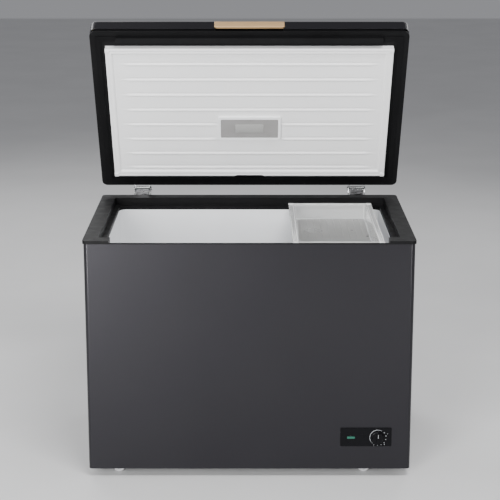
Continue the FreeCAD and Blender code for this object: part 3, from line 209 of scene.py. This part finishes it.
def lamp_cover():
    """Clouded plastic of the unlit lamp in the lid."""
    made = Surface("lamp_cover", IOR=1.5, Specular_IOR_Level=0.3)
    made.colour(made.span(made.noise(20.0), 0, 1), (0.235, 0.23, 0.225), (0.265, 0.26, 0.255))
    made.join(made.span(made.noise(30.0), 0.34, 0.42), made.shader.inputs["Roughness"])
    made.relief(made.noise(200.0), 0.00001)
    return made.material


def lit_green():
    """Green light that is faintly on."""
    made = Surface("green_lens", Emission_Color=(0.02, 0.30, 0.18, 1), Emission_Strength=0.10)
    made.colour(made.span(made.noise(300.0), 0, 1), (0.006, 0.06, 0.04), (0.010, 0.09, 0.06))
    made.join(made.span(made.noise(500.0), 0.15, 0.3), made.shader.inputs["Roughness"])
    made.relief(made.noise(900.0), 0.00003, edge=0.0006)
    return made.material


WHITE = coated("white_plastic", (0.86, 0.865, 0.87), 0.36, 420.0, 0.00002, tint=0.015)
LINER = coated("liner_plastic", (0.86, 0.87, 0.885), 0.34, 120.0, 0.00001, tint=0.012)
PANEL = coated("panel_plastic", (0.85, 0.85, 0.85), 0.42, 120.0, 0.00001, tint=0.012)
BLACK = coated(
    "black_plastic", (0.0042, 0.0042, 0.0046), 0.50, 900.0, 0.00003, tint=0.2, Specular_IOR_Level=0.12
)
GLOSS = coated(
    "black_gloss", (0.003, 0.003, 0.004), 0.20, 120.0, 0.00001, tint=0.2, spread=0.05, Specular_IOR_Level=0.12
)
RUBBER = coated(
    "rubber", (0.0036, 0.0036, 0.0040), 0.66, 700.0, 0.00003, tint=0.2, Specular_IOR_Level=0.1
)
ENAMEL = coated("black_enamel", (0.010, 0.010, 0.011), 0.26, 90.0, 0.00012, tint=0.2)
GREY = coated("grey_plastic", (0.52, 0.52, 0.53), 0.45, 600.0, 0.00010, tint=0.06)
BOARD = coated("board", (0.62, 0.63, 0.58), 0.50, 900.0, 0.00004)
INK = coated("white_ink", (0.34, 0.35, 0.36), 0.55, 1500.0, 0.00001, edge=0.0)
LACQUER = coated("black_lacquer", (0.02, 0.02, 0.02), 0.35, 500.0, 0.00005)
STEEL = steel_paint()
HINGE_STEEL = brushed("hinge_steel", (0.40, 0.40, 0.41), 0.26, (1.0, 9.0, 9.0), depth=0.000006)
BOLT = brushed("fastener_steel", (0.55, 0.55, 0.54), 0.30, (6.0, 6.0, 6.0))
GALVANISED = zinc("galvanised_steel", (0.50, 0.51, 0.52), 0.42)
COPPER = brushed("copper", (0.72, 0.34, 0.20), 0.28, (4.0, 4.0, 4.0))
ALUMINIUM = brushed("drawn_aluminium", (0.72, 0.73, 0.74), 0.32, (4.0, 4.0, 4.0))
CHAMPAGNE = brushed(
    "champagne", (0.55, 0.365, 0.185), 0.42, (0.5, 24.0, 24.0), depth=0.000004, tint=0.06, metal=0.35
)
FOAM = foamed()
BASKET = clear_plastic("basket_plastic", 0.62)
# Nearly opaque, so whiter: the corner caps' own white, and a painted highlight on the rim's beads.
BASKET_CAPS_AND_HIGHLIGHT = clear_plastic("basket_caps_and_highlight_plastic", 0.10)
LAMP_PLATE = coated("lamp_plate", (0.31, 0.31, 0.30), 0.36, 300.0, 0.00001, tint=0.03)
PAINTED_SHADE_FLOOR = painted_shade_floor()
LAMP = lamp_cover()
GREEN = lit_green()

NODE_FINISH = {
    "outer_shell": STEEL,
    "lid_skin": STEEL,
    "back_panel": GALVANISED,
    "bottom_panel": GALVANISED,
    "compressor_base": GALVANISED,
    "roller_brackets": GALVANISED,
    "hinge_pins": BOLT,
    "hinge_cam_pins": BOLT,
    "compressor_bolts": BOLT,
    "roller_axles": BOLT,
    "compressor": ENAMEL,
    "compressor_pump": ENAMEL,
    "condenser_coil": LACQUER,
    "evaporator_coil": ALUMINIUM,
    "suction_line": COPPER,
    "discharge_line": COPPER,
    "filter_drier": COPPER,
    "insulation_foam": FOAM,
    "lid_foam": FOAM,
    "inner_liner": LINER,
    "lid_inner_panel": PANEL,
    "lamp_housing": WHITE,
    "lamp_lens": LAMP,
    "lamp_board": BOARD,
    "indicator_lamp": BOARD,
    "indicator_lens": GREEN,
    "control_panel": GLOSS,
    "thermostat_knob": GLOSS,
    "lid_gasket": RUBBER,
    "compressor_grommets": RUBBER,
    "cord_gland": RUBBER,
    "lid_handle": CHAMPAGNE,
    "storage_basket": BASKET,
    "drain_plug": GREY,
    "drain_tube": GREY,
}
FINISH_BY_WORD = (
    ("screws", BOLT),
    ("hinge_spring", BOLT),
    ("hinge_", HINGE_STEEL),
    ("roller_", GREY),
)


def dress_nodes():
    """Gives each carried-over part its own detailed finish."""
    for name, node in frame["nodes"].items():
        finish = NODE_FINISH.get(name)
        for word, material in FINISH_BY_WORD:
            if finish is None and word in name:
                finish = material
        node.data.materials.clear()
        node.data.materials.append(finish or BLACK)


# ---------------------------------------------------------------- mesh helpers


def closed_box(node):
    """A lid part's corners with the lid closed."""
    back = SWING.inverted()
    places = [back @ vertex.co for vertex in frame["nodes"][node].data.vertices]
    low = Vector([min(place[axis] for place in places) for axis in range(3)])
    high = Vector([max(place[axis] for place in places) for axis in range(3)])
    return low, high


def piece(name, shape, material, body, stands_for=(), on_lid=False, sharp=35.0):
    """Makes an object of a bmesh, which rides on its body and on the lid is swung open with it."""
    bmesh.ops.recalc_face_normals(shape, faces=shape.faces)
    mesh = bpy.data.meshes.new(name)
    shape.to_mesh(mesh)
    shape.free()
    if on_lid:
        mesh.transform(SWING)
    mesh.materials.append(material)
    mesh.shade_smooth()
    mesh.set_sharp_from_angle(angle=math.radians(sharp))
    made = bpy.data.objects.new(name, mesh)
    bpy.context.scene.collection.objects.link(made)
    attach(made, body)
    if stands_for:
        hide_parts(*stands_for)


def add_block(shape, low, high, bevel, segments=3):
    """Adds a block with rounded edges to a bmesh."""
    size = Vector(high) - Vector(low)
    centre = (Vector(high) + Vector(low)) / 2
    scaled = Matrix.Translation(centre) @ Matrix.Diagonal((*size, 1))
    corners = bmesh.ops.create_cube(shape, size=1.0, matrix=scaled)["verts"]
    edges = list({edge for corner in corners for edge in corner.link_edges})
    bmesh.ops.bevel(shape, geom=edges, offset=bevel, segments=segments, profile=0.5, affect="EDGES")


def rounded_loop(x0, x1, y0, y1, radius):
    """Points round a rectangle with round corners, anticlockwise."""
    points = []
    steps = 6
    for x, y, start in ((x1, y1, 0), (x0, y1, 90), (x0, y0, 180), (x1, y0, 270)):
        centre_x = x - radius if x == x1 else x + radius
        centre_y = y - radius if y == y1 else y + radius
        for step in range(steps + 1):
            turn = math.radians(start + 90 * step / steps)
            points.append((centre_x + radius * math.cos(turn), centre_y + radius * math.sin(turn)))
    return points


def add_loft(shape, rings):
    """Joins rings of equal count and closes both ends."""
    rows = [[shape.verts.new(point) for point in ring] for ring in rings]
    count = len(rows[0])
    for row, after in zip(rows, rows[1:]):
        for step in range(count):
            turn = (step + 1) % count
            shape.faces.new((row[step], row[turn], after[turn], after[step]))
    shape.faces.new(list(reversed(rows[0])))
    shape.faces.new(rows[-1])


def add_turned(shape, profile, centre, steps, flutes=0, flute_depth=0.0, fluted=()):
    """Turns (distance along +Y, radius) points about the Y axis through a centre."""
    rings = []
    for index, (along, radius) in enumerate(profile):
        ring = []
        for step in range(steps):
            turn = 2 * math.pi * step / steps
            ripple = flute_depth * (0.5 - 0.5 * math.cos(turn * flutes)) if index in fluted else 0.0
            reach = radius - ripple
            x = centre[0] + reach * math.cos(turn)
            z = centre[2] + reach * math.sin(turn)
            ring.append((x, centre[1] + along, z))
        rings.append(ring)
    add_loft(shape, rings)


def smooth_step(value, start, end):
    """Rises gently from 0 at the start to 1 at the end."""
    share = min(1.0, max(0.0, (value - start) / (end - start)))
    return share * share * (3 - 2 * share)


# ---------------------------------------------------------------- tub


def arc(corner, towards, away, radius):
    """Points round a corner of an outline, which arrives from one side and leaves to the other."""
    centre = Vector(corner) + Vector(towards) * radius + Vector(away) * radius
    points = []
    steps = 7
    for step in range(steps + 1):
        turn = math.pi / 2 * step / steps
        reach = Vector(away) * math.cos(turn) + Vector(towards) * math.sin(turn)
        points.append(centre - reach * radius)
    return points


def tub_liner():
    """Stepped white tub, drawn in one piece with round corners all over."""
    low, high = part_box("inner_liner")
    places = [vertex.co for vertex in frame["nodes"]["inner_liner"].data.vertices]
    wall = 1.5 * MM
    near_floor, on_step = 20 * MM, 60 * MM
    step_x = max(place.x for place in places if place.z < low.z + near_floor) - wall
    step_z = min(place.z for place in places if place.x > step_x + on_step) + wall
    hollow, nose, skin_gap = 24 * MM, 3 * MM, 0.4 * MM
    up, down, left, right = (0, 1), (0, -1), (-1, 0), (1, 0)

    def outline(inset):
        """The tub's section, open at the top, taken in by the inset."""
        x0, x1 = low.x + wall + inset, high.x - wall - inset
        floor, riser, step = low.z + wall + inset, step_x - inset, step_z + inset
        inner = hollow - inset + skin_gap
        points = [Vector((x0, high.z))]
        points += arc((x0, floor), up, right, inner)
        points += arc((riser, floor), left, up, inner)
        points += arc((riser, step), down, right, nose + inset)
        points += arc((x1, step), left, up, inner)
        points.append(Vector((x1, high.z)))
        return points

    sections = []
    turns = 7
    for turn in range(turns + 1):
        angle = math.pi / 2 * turn / turns
        sections.append((low.y + wall + hollow * (1 - math.cos(angle)), hollow * (1 - math.sin(angle))))
    sections += [(low.y + high.y - y, inset) for y, inset in reversed(sections)]
    shape = bmesh.new()
    rows = []
    for y, inset in sections:
        rows.append([shape.verts.new((point.x, y, point.y)) for point in outline(inset)])
    for row, after in zip(rows, rows[1:]):
        for side in range(len(row) - 1):
            shape.faces.new((row[side], row[side + 1], after[side + 1], after[side]))
    shape.faces.new(rows[0])
    shape.faces.new(rows[-1])
    bmesh.ops.recalc_face_normals(shape, faces=shape.faces)
    bmesh.ops.solidify(shape, geom=shape.faces[:], thickness=wall)
    piece("tub", shape, LINER, "cabinet", ["inner_liner"], sharp=40)


# ---------------------------------------------------------------- lid's inner side


def grid_lines(low, high, margin, between):
    """Places across the panel: a millimetre apart over the collar, then evenly spread."""
    fine = [step * MM for step in range(round(margin / MM) + 1)]
    span = high - low - 2 * fine[-1]
    places = [low + step for step in fine]
    places += [places[-1] + span * (step + 1) / (between + 1) for step in range(between)]
    places += [high - step for step in reversed(fine)]
    return places


def lid_panel():
    """Vacuum-formed panel: a rounded collar round a field with long shallow grooves."""
    low, high = closed_box("lid_inner_panel")
    lamp_low, lamp_high = closed_box("lamp_housing")
    field = lamp_high.z
    crest = low.z
    collar, margin = 20 * MM, 26 * MM
    bead_width, bead_rise = 9 * MM, 1.2 * MM
    second_start, second_rise = 10 * MM, 0.5 * MM
    groove_pitch, groove_count, first_groove = 60.5 * MM, 8, 40.5 * MM
    groove_width, groove_depth = 3.2 * MM, 1.4 * MM
    swell_side, swell_width, swell_rise = 6.5 * MM, 3.4 * MM, 2.6 * MM
    groove_reach = (high.x - low.x) / 2 - 52 * MM
    groove_end = 8 * MM
    lamp_side, lamp_edge = 14 * MM, 6 * MM
    notch_half, notch_wide, notch_deep = 45 * MM, 4.5 * MM, 10 * MM
    middle = (low.x + high.x) / 2

    def level(x, y):
        """How high the panel's surface lies there with the lid closed; the collar hangs lowest."""
        inset = min(x - low.x, high.x - x, y - low.y, high.y - y)
        bead = math.sin(math.pi * min(1.0, inset / bead_width))
        second = math.sin(math.pi * min(1.0, max(0.0, (inset - second_start) / bead_width)))
        shoulder = crest + bead_rise - bead_rise * max(bead, 0.0) - second_rise * max(second, 0.0)
        rise = smooth_step(inset, collar - 1.5 * MM, collar + 4 * MM)
        height = shoulder + (field - shoulder) * rise
        along = (high.y - first_groove - y) / groove_pitch
        nearest = min(max(round(along), 0), groove_count - 1)
        off = (along - nearest) * groove_pitch
        fade = 1 - smooth_step(abs(x - middle), groove_reach - groove_end, groove_reach)
        on_lamp = abs(x - middle) < (lamp_high.x - lamp_low.x) / 2 + lamp_side
        if on_lamp and lamp_low.y - lamp_edge < y < lamp_high.y + lamp_edge:
            fade = 0.0
        dip = math.exp(-((off / groove_width) ** 2)) * groove_depth
        swell = math.exp(-(((off + swell_side) / swell_width) ** 2)) * swell_rise
        return height + fade * (dip - swell)

    xs = grid_lines(low.x, high.x, margin, 60)
    ys = grid_lines(low.y, high.y, margin, int((high.y - low.y - 2 * margin) / (1.6 * MM)))
    shape = bmesh.new()
    surface = []
    for y in ys:
        row = []
        for x in xs:
            z = level(x, y)
            if abs(x - middle) < notch_half and high.y - y < notch_wide:
                z = max(z, crest + notch_deep)
            row.append(shape.verts.new((x, y, z)))
        surface.append(row)
    for row, after in zip(surface, surface[1:]):
        for left in range(len(xs) - 1):
            shape.faces.new((row[left], row[left + 1], after[left + 1], after[left]))
    rim = [edge for edge in shape.edges if edge.is_boundary]
    raised = bmesh.ops.extrude_edge_only(shape, edges=rim)["geom"]
    for vertex in raised:
        if isinstance(vertex, bmesh.types.BMVert):
            vertex.co.z = high.z
    skirt = [edge for edge in shape.edges if edge.is_boundary]
    bmesh.ops.contextual_create(shape, geom=skirt)

    block, proud, hang, root, bevel = 15 * MM, 0.8 * MM, 1.6 * MM, 8 * MM, 2.2 * MM
    for x in (low.x - proud, high.x + proud - block):
        for y in (low.y - proud, high.y + proud - block):
            add_block(shape, (x, y, crest - hang), (x + block, y + block, crest + root), bevel)
    piece("lid_panel", shape, PANEL, "lid", ["lid_inner_panel"], on_lid=True, sharp=50)


def lid_seam():
    """Black beads that close the joint between the lid's skin and its frame."""
    low, high = closed_box("lid_skin")
    cup_low, cup_high = closed_box("handle_cup")
    corner = 14 * MM
    outer, inner = 1.3 * MM, 6.5 * MM
    bottom, top = low.z + 0.3 * MM, low.z + 2.5 * MM
    spans = (
        (low.x + corner, cup_low.x, low.y + outer, low.y + inner),
        (cup_high.x, high.x - corner, low.y + outer, low.y + inner),
        (low.x + outer, low.x + inner, low.y + corner, high.y - corner),
        (high.x - inner, high.x - outer, low.y + corner, high.y - corner),
    )
    shape = bmesh.new()
    for x0, x1, y0, y1 in spans:
        add_block(shape, (x0, y0, bottom), (x1, y1, top), 0.5 * MM)
    piece("lid_seam", shape, BLACK, "lid", on_lid=True)


LAMP_RIBS = 22


def lamp_diffuser():
    """Clouded lamp cover with fine ribs from side to side."""
    low, high = closed_box("lamp_lens")
    ribs, rib_steps, rib_depth, sunk = LAMP_RIBS, 6, 0.6 * MM, 1.0 * MM
    shape = bmesh.new()
    profile = []
    for place in range(ribs * rib_steps + 1):
        share = place / (ribs * rib_steps)
        ripple = rib_depth * (0.5 - 0.5 * math.cos(2 * math.pi * share * ribs))
        profile.append((low.y + share * (high.y - low.y), low.z + sunk + ripple))
    profile += [(high.y, high.z), (low.y, high.z)]
    add_loft(shape, [[(x, y, z) for y, z in profile] for x in (low.x, high.x)])
    piece("lamp_diffuser", shape, LAMP, "lid", ["lamp_lens"], on_lid=True)


def lamp_plate():
    """Plain plate in the middle of the lamp cover, at most ten ribs deep."""
    low, high = closed_box("lamp_lens")
    pitch = (high.y - low.y) / LAMP_RIBS
    centre = (low + high) / 2
    wide, deep, thick = 46 * MM, min(18 * MM, pitch * 5), 2.5 * MM
    shape = bmesh.new()
    add_block(
        shape,
        (centre.x - wide, centre.y - deep, low.z),
        (centre.x + wide, centre.y + deep, low.z + thick),
        0.9 * MM,
    )
    piece("lamp_plate", shape, LAMP_PLATE, "lid", on_lid=True)


def handle_strip():
    """Champagne strip with soft edges and a lip turned in along its lower edge."""
    low, high = closed_box("lid_handle")
    plate, overlap = 3 * MM, 0.5 * MM
    inset, raised, lip = 4 * MM, 0.2 * MM, 2 * MM
    shape = bmesh.new()
    add_block(shape, low, (high.x, low.y + plate, high.z), 1.1 * MM, segments=4)
    add_block(
        shape,
        (low.x + inset, low.y + plate - overlap, low.z + raised),
        (high.x - inset, high.y, low.z + lip),
        0.7 * MM,
    )
    piece("handle_strip", shape, CHAMPAGNE, "lid", ["lid_handle"], on_lid=True)


# ---------------------------------------------------------------- basket


# How far the tray's walls stand in from its rim's outer edge, and how thick its sheet is.
TRAY_SIDE, TRAY_END, TRAY_WALL = 20 * MM, 19 * MM, 2 * MM
CORNER_CAP = 18 * MM


def basket_tray():
    """Frosted tray in one sheet, from the floor up the walls, over the rim and back underneath."""
    low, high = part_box("storage_basket")
    side, end, wall = TRAY_SIDE, TRAY_END, TRAY_WALL
    top = high.z

    def ring(side_inset, end_inset, radius, z):
        loop = rounded_loop(
            low.x + side_inset, high.x - side_inset, low.y + end_inset, high.y - end_inset, radius
        )
        return [(x, y, z) for x, y in loop]

    floor = (
        ring(side + 16 * MM, end + 16 * MM, 4 * MM, low.z + wall),
        ring(side + 7 * MM, end + 7 * MM, 6 * MM, low.z + wall),
        ring(side + 3 * MM, end + 3 * MM, 8 * MM, low.z + wall + 1.5 * MM),
    )
    inner_wall = (
        ring(side + 1 * MM, end + 1 * MM, 9 * MM, low.z + 8 * MM),
        ring(side - 1 * MM, end, 9 * MM, top - 4 * MM),
    )
    inner_bead = (
        ring(side - 2 * MM, end - 1 * MM, 9 * MM, top - 1 * MM),
        ring(side - 3.5 * MM, end - 2.2 * MM, 9 * MM, top),
        ring(side - 5.5 * MM, end - 3.6 * MM, 9 * MM, top - 0.6 * MM),
        ring(side - 7 * MM, end - 5 * MM, 9 * MM, top - 3.6 * MM),
    )
    outer_bead = (
        ring(6 * MM, 6 * MM, 8 * MM, top - 3.6 * MM),
        ring(4.2 * MM, 4.2 * MM, 8 * MM, top - 0.8 * MM),
        ring(2.4 * MM, 2.4 * MM, 8 * MM, top),
        ring(0.7 * MM, 0.7 * MM, 8 * MM, top - 0.8 * MM),
        ring(0, 0, 8 * MM, top - 2.2 * MM),
        ring(0, 0, 8 * MM, top - 5.2 * MM),
    )
    underside_of_rim = (
        ring(0.8 * MM, 0.8 * MM, 8 * MM, top - 5.6 * MM),
        ring(2 * MM, 2 * MM, 8 * MM, top - 5.0 * MM),
        ring(3 * MM, 3 * MM, 8 * MM, top - 5.0 * MM),
        ring(side - 4 * MM, end - 3 * MM, 9 * MM, top - 5.0 * MM),
    )
    outer_wall = (
        ring(side - 2.6 * MM, end - 1.6 * MM, 10 * MM, top - 6 * MM),
        ring(side - 1 * MM, end - 1 * MM, 10 * MM, low.z + 8 * MM),
        ring(side + 2 * MM, end + 2 * MM, 9 * MM, low.z + 0.8 * MM),
        ring(side + 6 * MM, end + 6 * MM, 7 * MM, low.z),
    )
    shape = bmesh.new()
    add_loft(shape, floor + inner_wall + inner_bead + outer_bead + underside_of_rim + outer_wall)
    piece("basket", shape, BASKET, "storage_basket", ["storage_basket"], sharp=40)


def basket_beads():
    """Whiter corner caps, and beads along the rim's two long sides made milky as a painted highlight for the
    bright lines on the clear rim's edges.
    """
    low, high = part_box("storage_basket")
    top = high.z
    shape = bmesh.new()
    cap_depth, cap_proud = 3.2 * MM, 0.4 * MM
    for x in (low.x, high.x - CORNER_CAP):
        for y in (low.y, high.y - CORNER_CAP):
            corner = (x + CORNER_CAP, y + CORNER_CAP, top + cap_proud)
            add_block(shape, (x, y, top - cap_depth), corner, 1.4 * MM)
    bead, bead_depth, bead_proud = 2.2 * MM, 2.4 * MM, 0.3 * MM
    outer, inner = 1.4 * MM, TRAY_SIDE - 5.6 * MM
    for x in (low.x + outer, low.x + inner, high.x - inner - bead, high.x - outer - bead):
        start = (x, low.y + CORNER_CAP, top - bead_depth)
        add_block(shape, start, (x + bead, high.y - CORNER_CAP, top + bead_proud), 0.8 * MM)
    # The milky beads are a painted highlight for the clear rim's bright edge lines.
    piece("basket_beads", shape, BASKET_CAPS_AND_HIGHLIGHT, "storage_basket")


def basket_floor():
    """Floor plate with ribs from end to end."""
    low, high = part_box("storage_basket")
    rib, gap, border = 2.4 * MM, 22 * MM, 8 * MM
    sunk, plate, rib_height = 0.4 * MM, 0.3 * MM, 0.8 * MM
    x0, x1 = low.x + TRAY_SIDE + border, high.x - TRAY_SIDE - border
    y0, y1 = low.y + TRAY_END + border, high.y - TRAY_END - border
    z0 = low.z + TRAY_WALL - sunk
    shape = bmesh.new()
    add_block(shape, (x0, y0, z0), (x1, y1, low.z + TRAY_WALL + plate), 0.2 * MM, segments=1)
    x = x0 + gap / 2
    while x < x1:
        end = (x + rib / 2, y1, low.z + TRAY_WALL + rib_height)
        add_block(shape, (x - rib / 2, y0, z0), end, 0.5 * MM, segments=2)
        x += gap
    # The floor plate's dark grey finish is painted shade for the shadow under the basket seen through it.
    piece("basket_floor", shape, PAINTED_SHADE_FLOOR, "storage_basket", sharp=40)


# ---------------------------------------------------------------- controls


GRIP_INSET = 3.6 * MM


def dial():
    """Fluted knob with a raised grip bar."""
    low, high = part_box("thermostat_knob")
    centre = (low + high) / 2
    radius = (high.x - low.x) / 2
    deep = high.y - low.y
    back = high.y - centre.y
    profile = (
        (back, radius - 1 * MM),
        (back - 0.8 * MM, radius),
        (back - 3 * MM, radius),
        (back - 3.8 * MM, radius - 1 * MM),
        (back - 4.4 * MM, radius - 2 * MM),
        (back - deep * 0.60, radius - 3 * MM),
        (back - deep * 0.66, radius - 3.8 * MM),
        (back - deep * 0.68, radius - 5.2 * MM),
        (back - deep * 0.66, radius - 7 * MM),
        (back - deep * 0.64, 1 * MM),
    )
    shape = bmesh.new()
    add_turned(shape, profile, centre, 144, flutes=36, flute_depth=0.7 * MM, fluted=(4, 5))
    bar = 4 * MM
    reach = radius - GRIP_INSET
    add_block(
        shape,
        (centre.x - bar, low.y, centre.z - reach),
        (centre.x + bar, high.y - deep * 0.55, centre.z + reach),
        1.3 * MM,
    )
    piece("dial", shape, GLOSS, "thermostat_knob", ["thermostat_knob"])


def dial_pointer():
    """Pale line let into the upper half of the grip bar."""
    low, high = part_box("thermostat_knob")
    centre = (low + high) / 2
    half, proud, sunk = 0.7 * MM, 0.15 * MM, 0.6 * MM
    bottom = centre.z + 3 * MM
    top = centre.z + (high.x - low.x) / 2 - GRIP_INSET - 1.5 * MM
    shape = bmesh.new()
    add_block(
        shape, (centre.x - half, low.y - proud, bottom), (centre.x + half, low.y + sunk, top), 0.12 * MM
    )
    piece("dial_pointer", shape, INK, "thermostat_knob")


INK_THICKNESS = 0.12 * MM
SCALE_RADIUS = 24.2 * MM


def scale_centre():
    """The dial's middle, on the face of the control panel."""
    low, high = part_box("thermostat_knob")
    centre = (low + high) / 2
    centre.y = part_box("control_panel")[0].y
    return centre


def at_angle(centre, radius, degrees):
    """A place round the dial, anticlockwise from its right."""
    turn = math.radians(degrees)
    return Vector((centre.x + radius * math.cos(turn), centre.y, centre.z + radius * math.sin(turn)))


def dial_scale():
    """Printed scale round the dial: an arc that swells towards its middle, and growing dots."""
    centre = scale_centre()
    raised = Vector((0, -INK_THICKNESS, 0))
    start, end, steps = 62.0, 232.0, 64
    rings = []
    for step in range(steps + 1):
        share = step / steps
        angle = start + (end - start) * share
        width = (0.3 + 1.1 * math.sin(math.pi * min(1.0, 0.12 + share * 0.9)) ** 0.8) * MM
        inner = at_angle(centre, SCALE_RADIUS, angle)
        outer = at_angle(centre, SCALE_RADIUS + width, angle)
        rings.append([inner, outer, outer + raised, inner + raised])
    shape = bmesh.new()
    add_loft(shape, rings)
    first_dot, dot_pitch = -118, 26
    for index in range(7):
        spot = at_angle(centre, SCALE_RADIUS + 1 * MM, first_dot + dot_pitch * index)
        size = (0.8 + 0.12 * index) * MM
        add_turned(shape, ((0, size), (-INK_THICKNESS, size), (-INK_THICKNESS, size * 0.5)), spot, 20)
    piece("dial_scale", shape, INK, "cabinet")


def dial_numbers():
    """Numbers at the scale's start, middle and end."""
    centre = scale_centre()
    reach, spread = SCALE_RADIUS + 4.6 * MM, 1.12
    for number, angle in (("1", 248), ("4", -52), ("7", 24)):
        spot = at_angle(centre, reach, angle)
        spot.x = centre.x + (spot.x - centre.x) * spread
        spot.y -= INK_THICKNESS
        letters = bpy.data.curves.new("number", "FONT")
        letters.body = number
        letters.size = 6.0 * MM
        letters.extrude = INK_THICKNESS / 2
        letters.align_x = "CENTER"
        letters.align_y = "CENTER"
        drawn = bpy.data.objects.new("number", letters)
        bpy.context.scene.collection.objects.link(drawn)
        drawn.matrix_world = Matrix.Translation(spot) @ Matrix.Rotation(math.radians(90), 4, "X")
        bpy.context.view_layer.update()
        flat = bpy.data.meshes.new_from_object(drawn)
        flat.transform(drawn.matrix_world)
        bpy.data.objects.remove(drawn)
        shape = bmesh.new()
        shape.from_mesh(flat)
        piece("dial_number_" + number, shape, INK, "cabinet")


# ---------------------------------------------------------------- stage, lights and camera


def stage():
    """Plain pale floor under an even pale sky."""
    size = 14.0
    mesh = bpy.data.meshes.new("floor")
    corners = [(-size, -size, 0), (size, -size, 0), (size, size, 0), (-size, size, 0)]
    mesh.from_pydata(corners, [], [(0, 1, 2, 3)])
    pale = Surface("floor", Roughness=0.7)
    pale.colour(pale.span(pale.noise(2.0), 0, 1), (0.66, 0.66, 0.66), (0.70, 0.70, 0.70))
    mesh.materials.append(pale.material)
    floor = bpy.data.objects.new("floor", mesh)
    bpy.context.scene.collection.objects.link(floor)
    world = bpy.data.worlds.new("studio")
    bpy.context.scene.world = world
    world.use_nodes = True
    backdrop = world.node_tree.nodes["Background"]
    backdrop.inputs["Color"].default_value = (0.94, 0.95, 1.0, 1)
    backdrop.inputs["Strength"].default_value = 0.30


def soft_light(name, place, target, size, power):
    """Rectangular white light at a place, turned to a target."""
    lamp = bpy.data.lights.new(name, "AREA")
    lamp.shape = "RECTANGLE"
    lamp.size, lamp.size_y = size
    lamp.energy = power
    made = bpy.data.objects.new(name, lamp)
    bpy.context.scene.collection.objects.link(made)
    made.location = place
    made.visible_camera = False
    made.rotation_euler = (Vector(target) - Vector(place)).to_track_quat("-Z", "Y").to_euler()


def lights():
    """A studio lit from the left front, with weaker lights low, above and behind."""
    soft_light("key", (-2.0, -5.0, 2.2), (0, 0, 0.9), (2.0, 2.0), 250.0)
    soft_light("low", (-1.4, -3.4, 0.55), (-0.4, 0, 0.6), (0.9, 0.8), 44.0)
    soft_light("edge_left", (-1.15, -2.3, 0.36), (-0.5, 0, 0.4), (0.12, 0.7), 9.0)
    soft_light("edge_right", (1.15, -2.3, 0.36), (0.5, 0, 0.4), (0.12, 0.7), 5.0)
    soft_light("side", (-2.4, -0.4, 1.3), (0, 0, 0.6), (1.2, 1.2), 16.0)
    soft_light("fill", (2.4, -0.4, 1.3), (0, 0, 0.6), (1.2, 1.2), 13.0)
    soft_light("top", (0.8, -2.2, 3.6), (0, 0, 0.7), (1.6, 0.8), 110.0)
    soft_light("rear", (-1.8, 3.2, 3.0), (0, 0, 0.6), (2.4, 1.6), 60.0)
    soft_light("rear_right", (1.8, 3.0, 2.4), (0, 0, 0.9), (1.4, 1.4), 25.0)


def camera():
    """Stands in front, a little above the open lid's edge, and looks down."""
    rail_low, rail_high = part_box("frame_rail_front")
    aside, away, above = 0.0018, 4.0847, 1.0656
    look_down = 12.96
    view = bpy.data.cameras.new("camera")
    view.lens = 101.94
    view.sensor_width = 36.0
    view.shift_y = -0.10
    made = bpy.data.objects.new("camera", view)
    bpy.context.scene.collection.objects.link(made)
    made.location = (aside, rail_low.y - away, rail_high.z + above)
    made.rotation_euler = (math.radians(90 - look_down), 0, 0)
    bpy.context.scene.camera = made


# ---------------------------------------------------------------- build

dress_nodes()
tub_liner()
lid_panel()
lid_seam()
lamp_diffuser()
lamp_plate()
handle_strip()
basket_tray()
basket_beads()
basket_floor()
dial()
dial_pointer()
dial_scale()
dial_numbers()
stage()
lights()
camera()


def corners(bounds):
    return [[float(number) for number in corner] for corner in bounds]
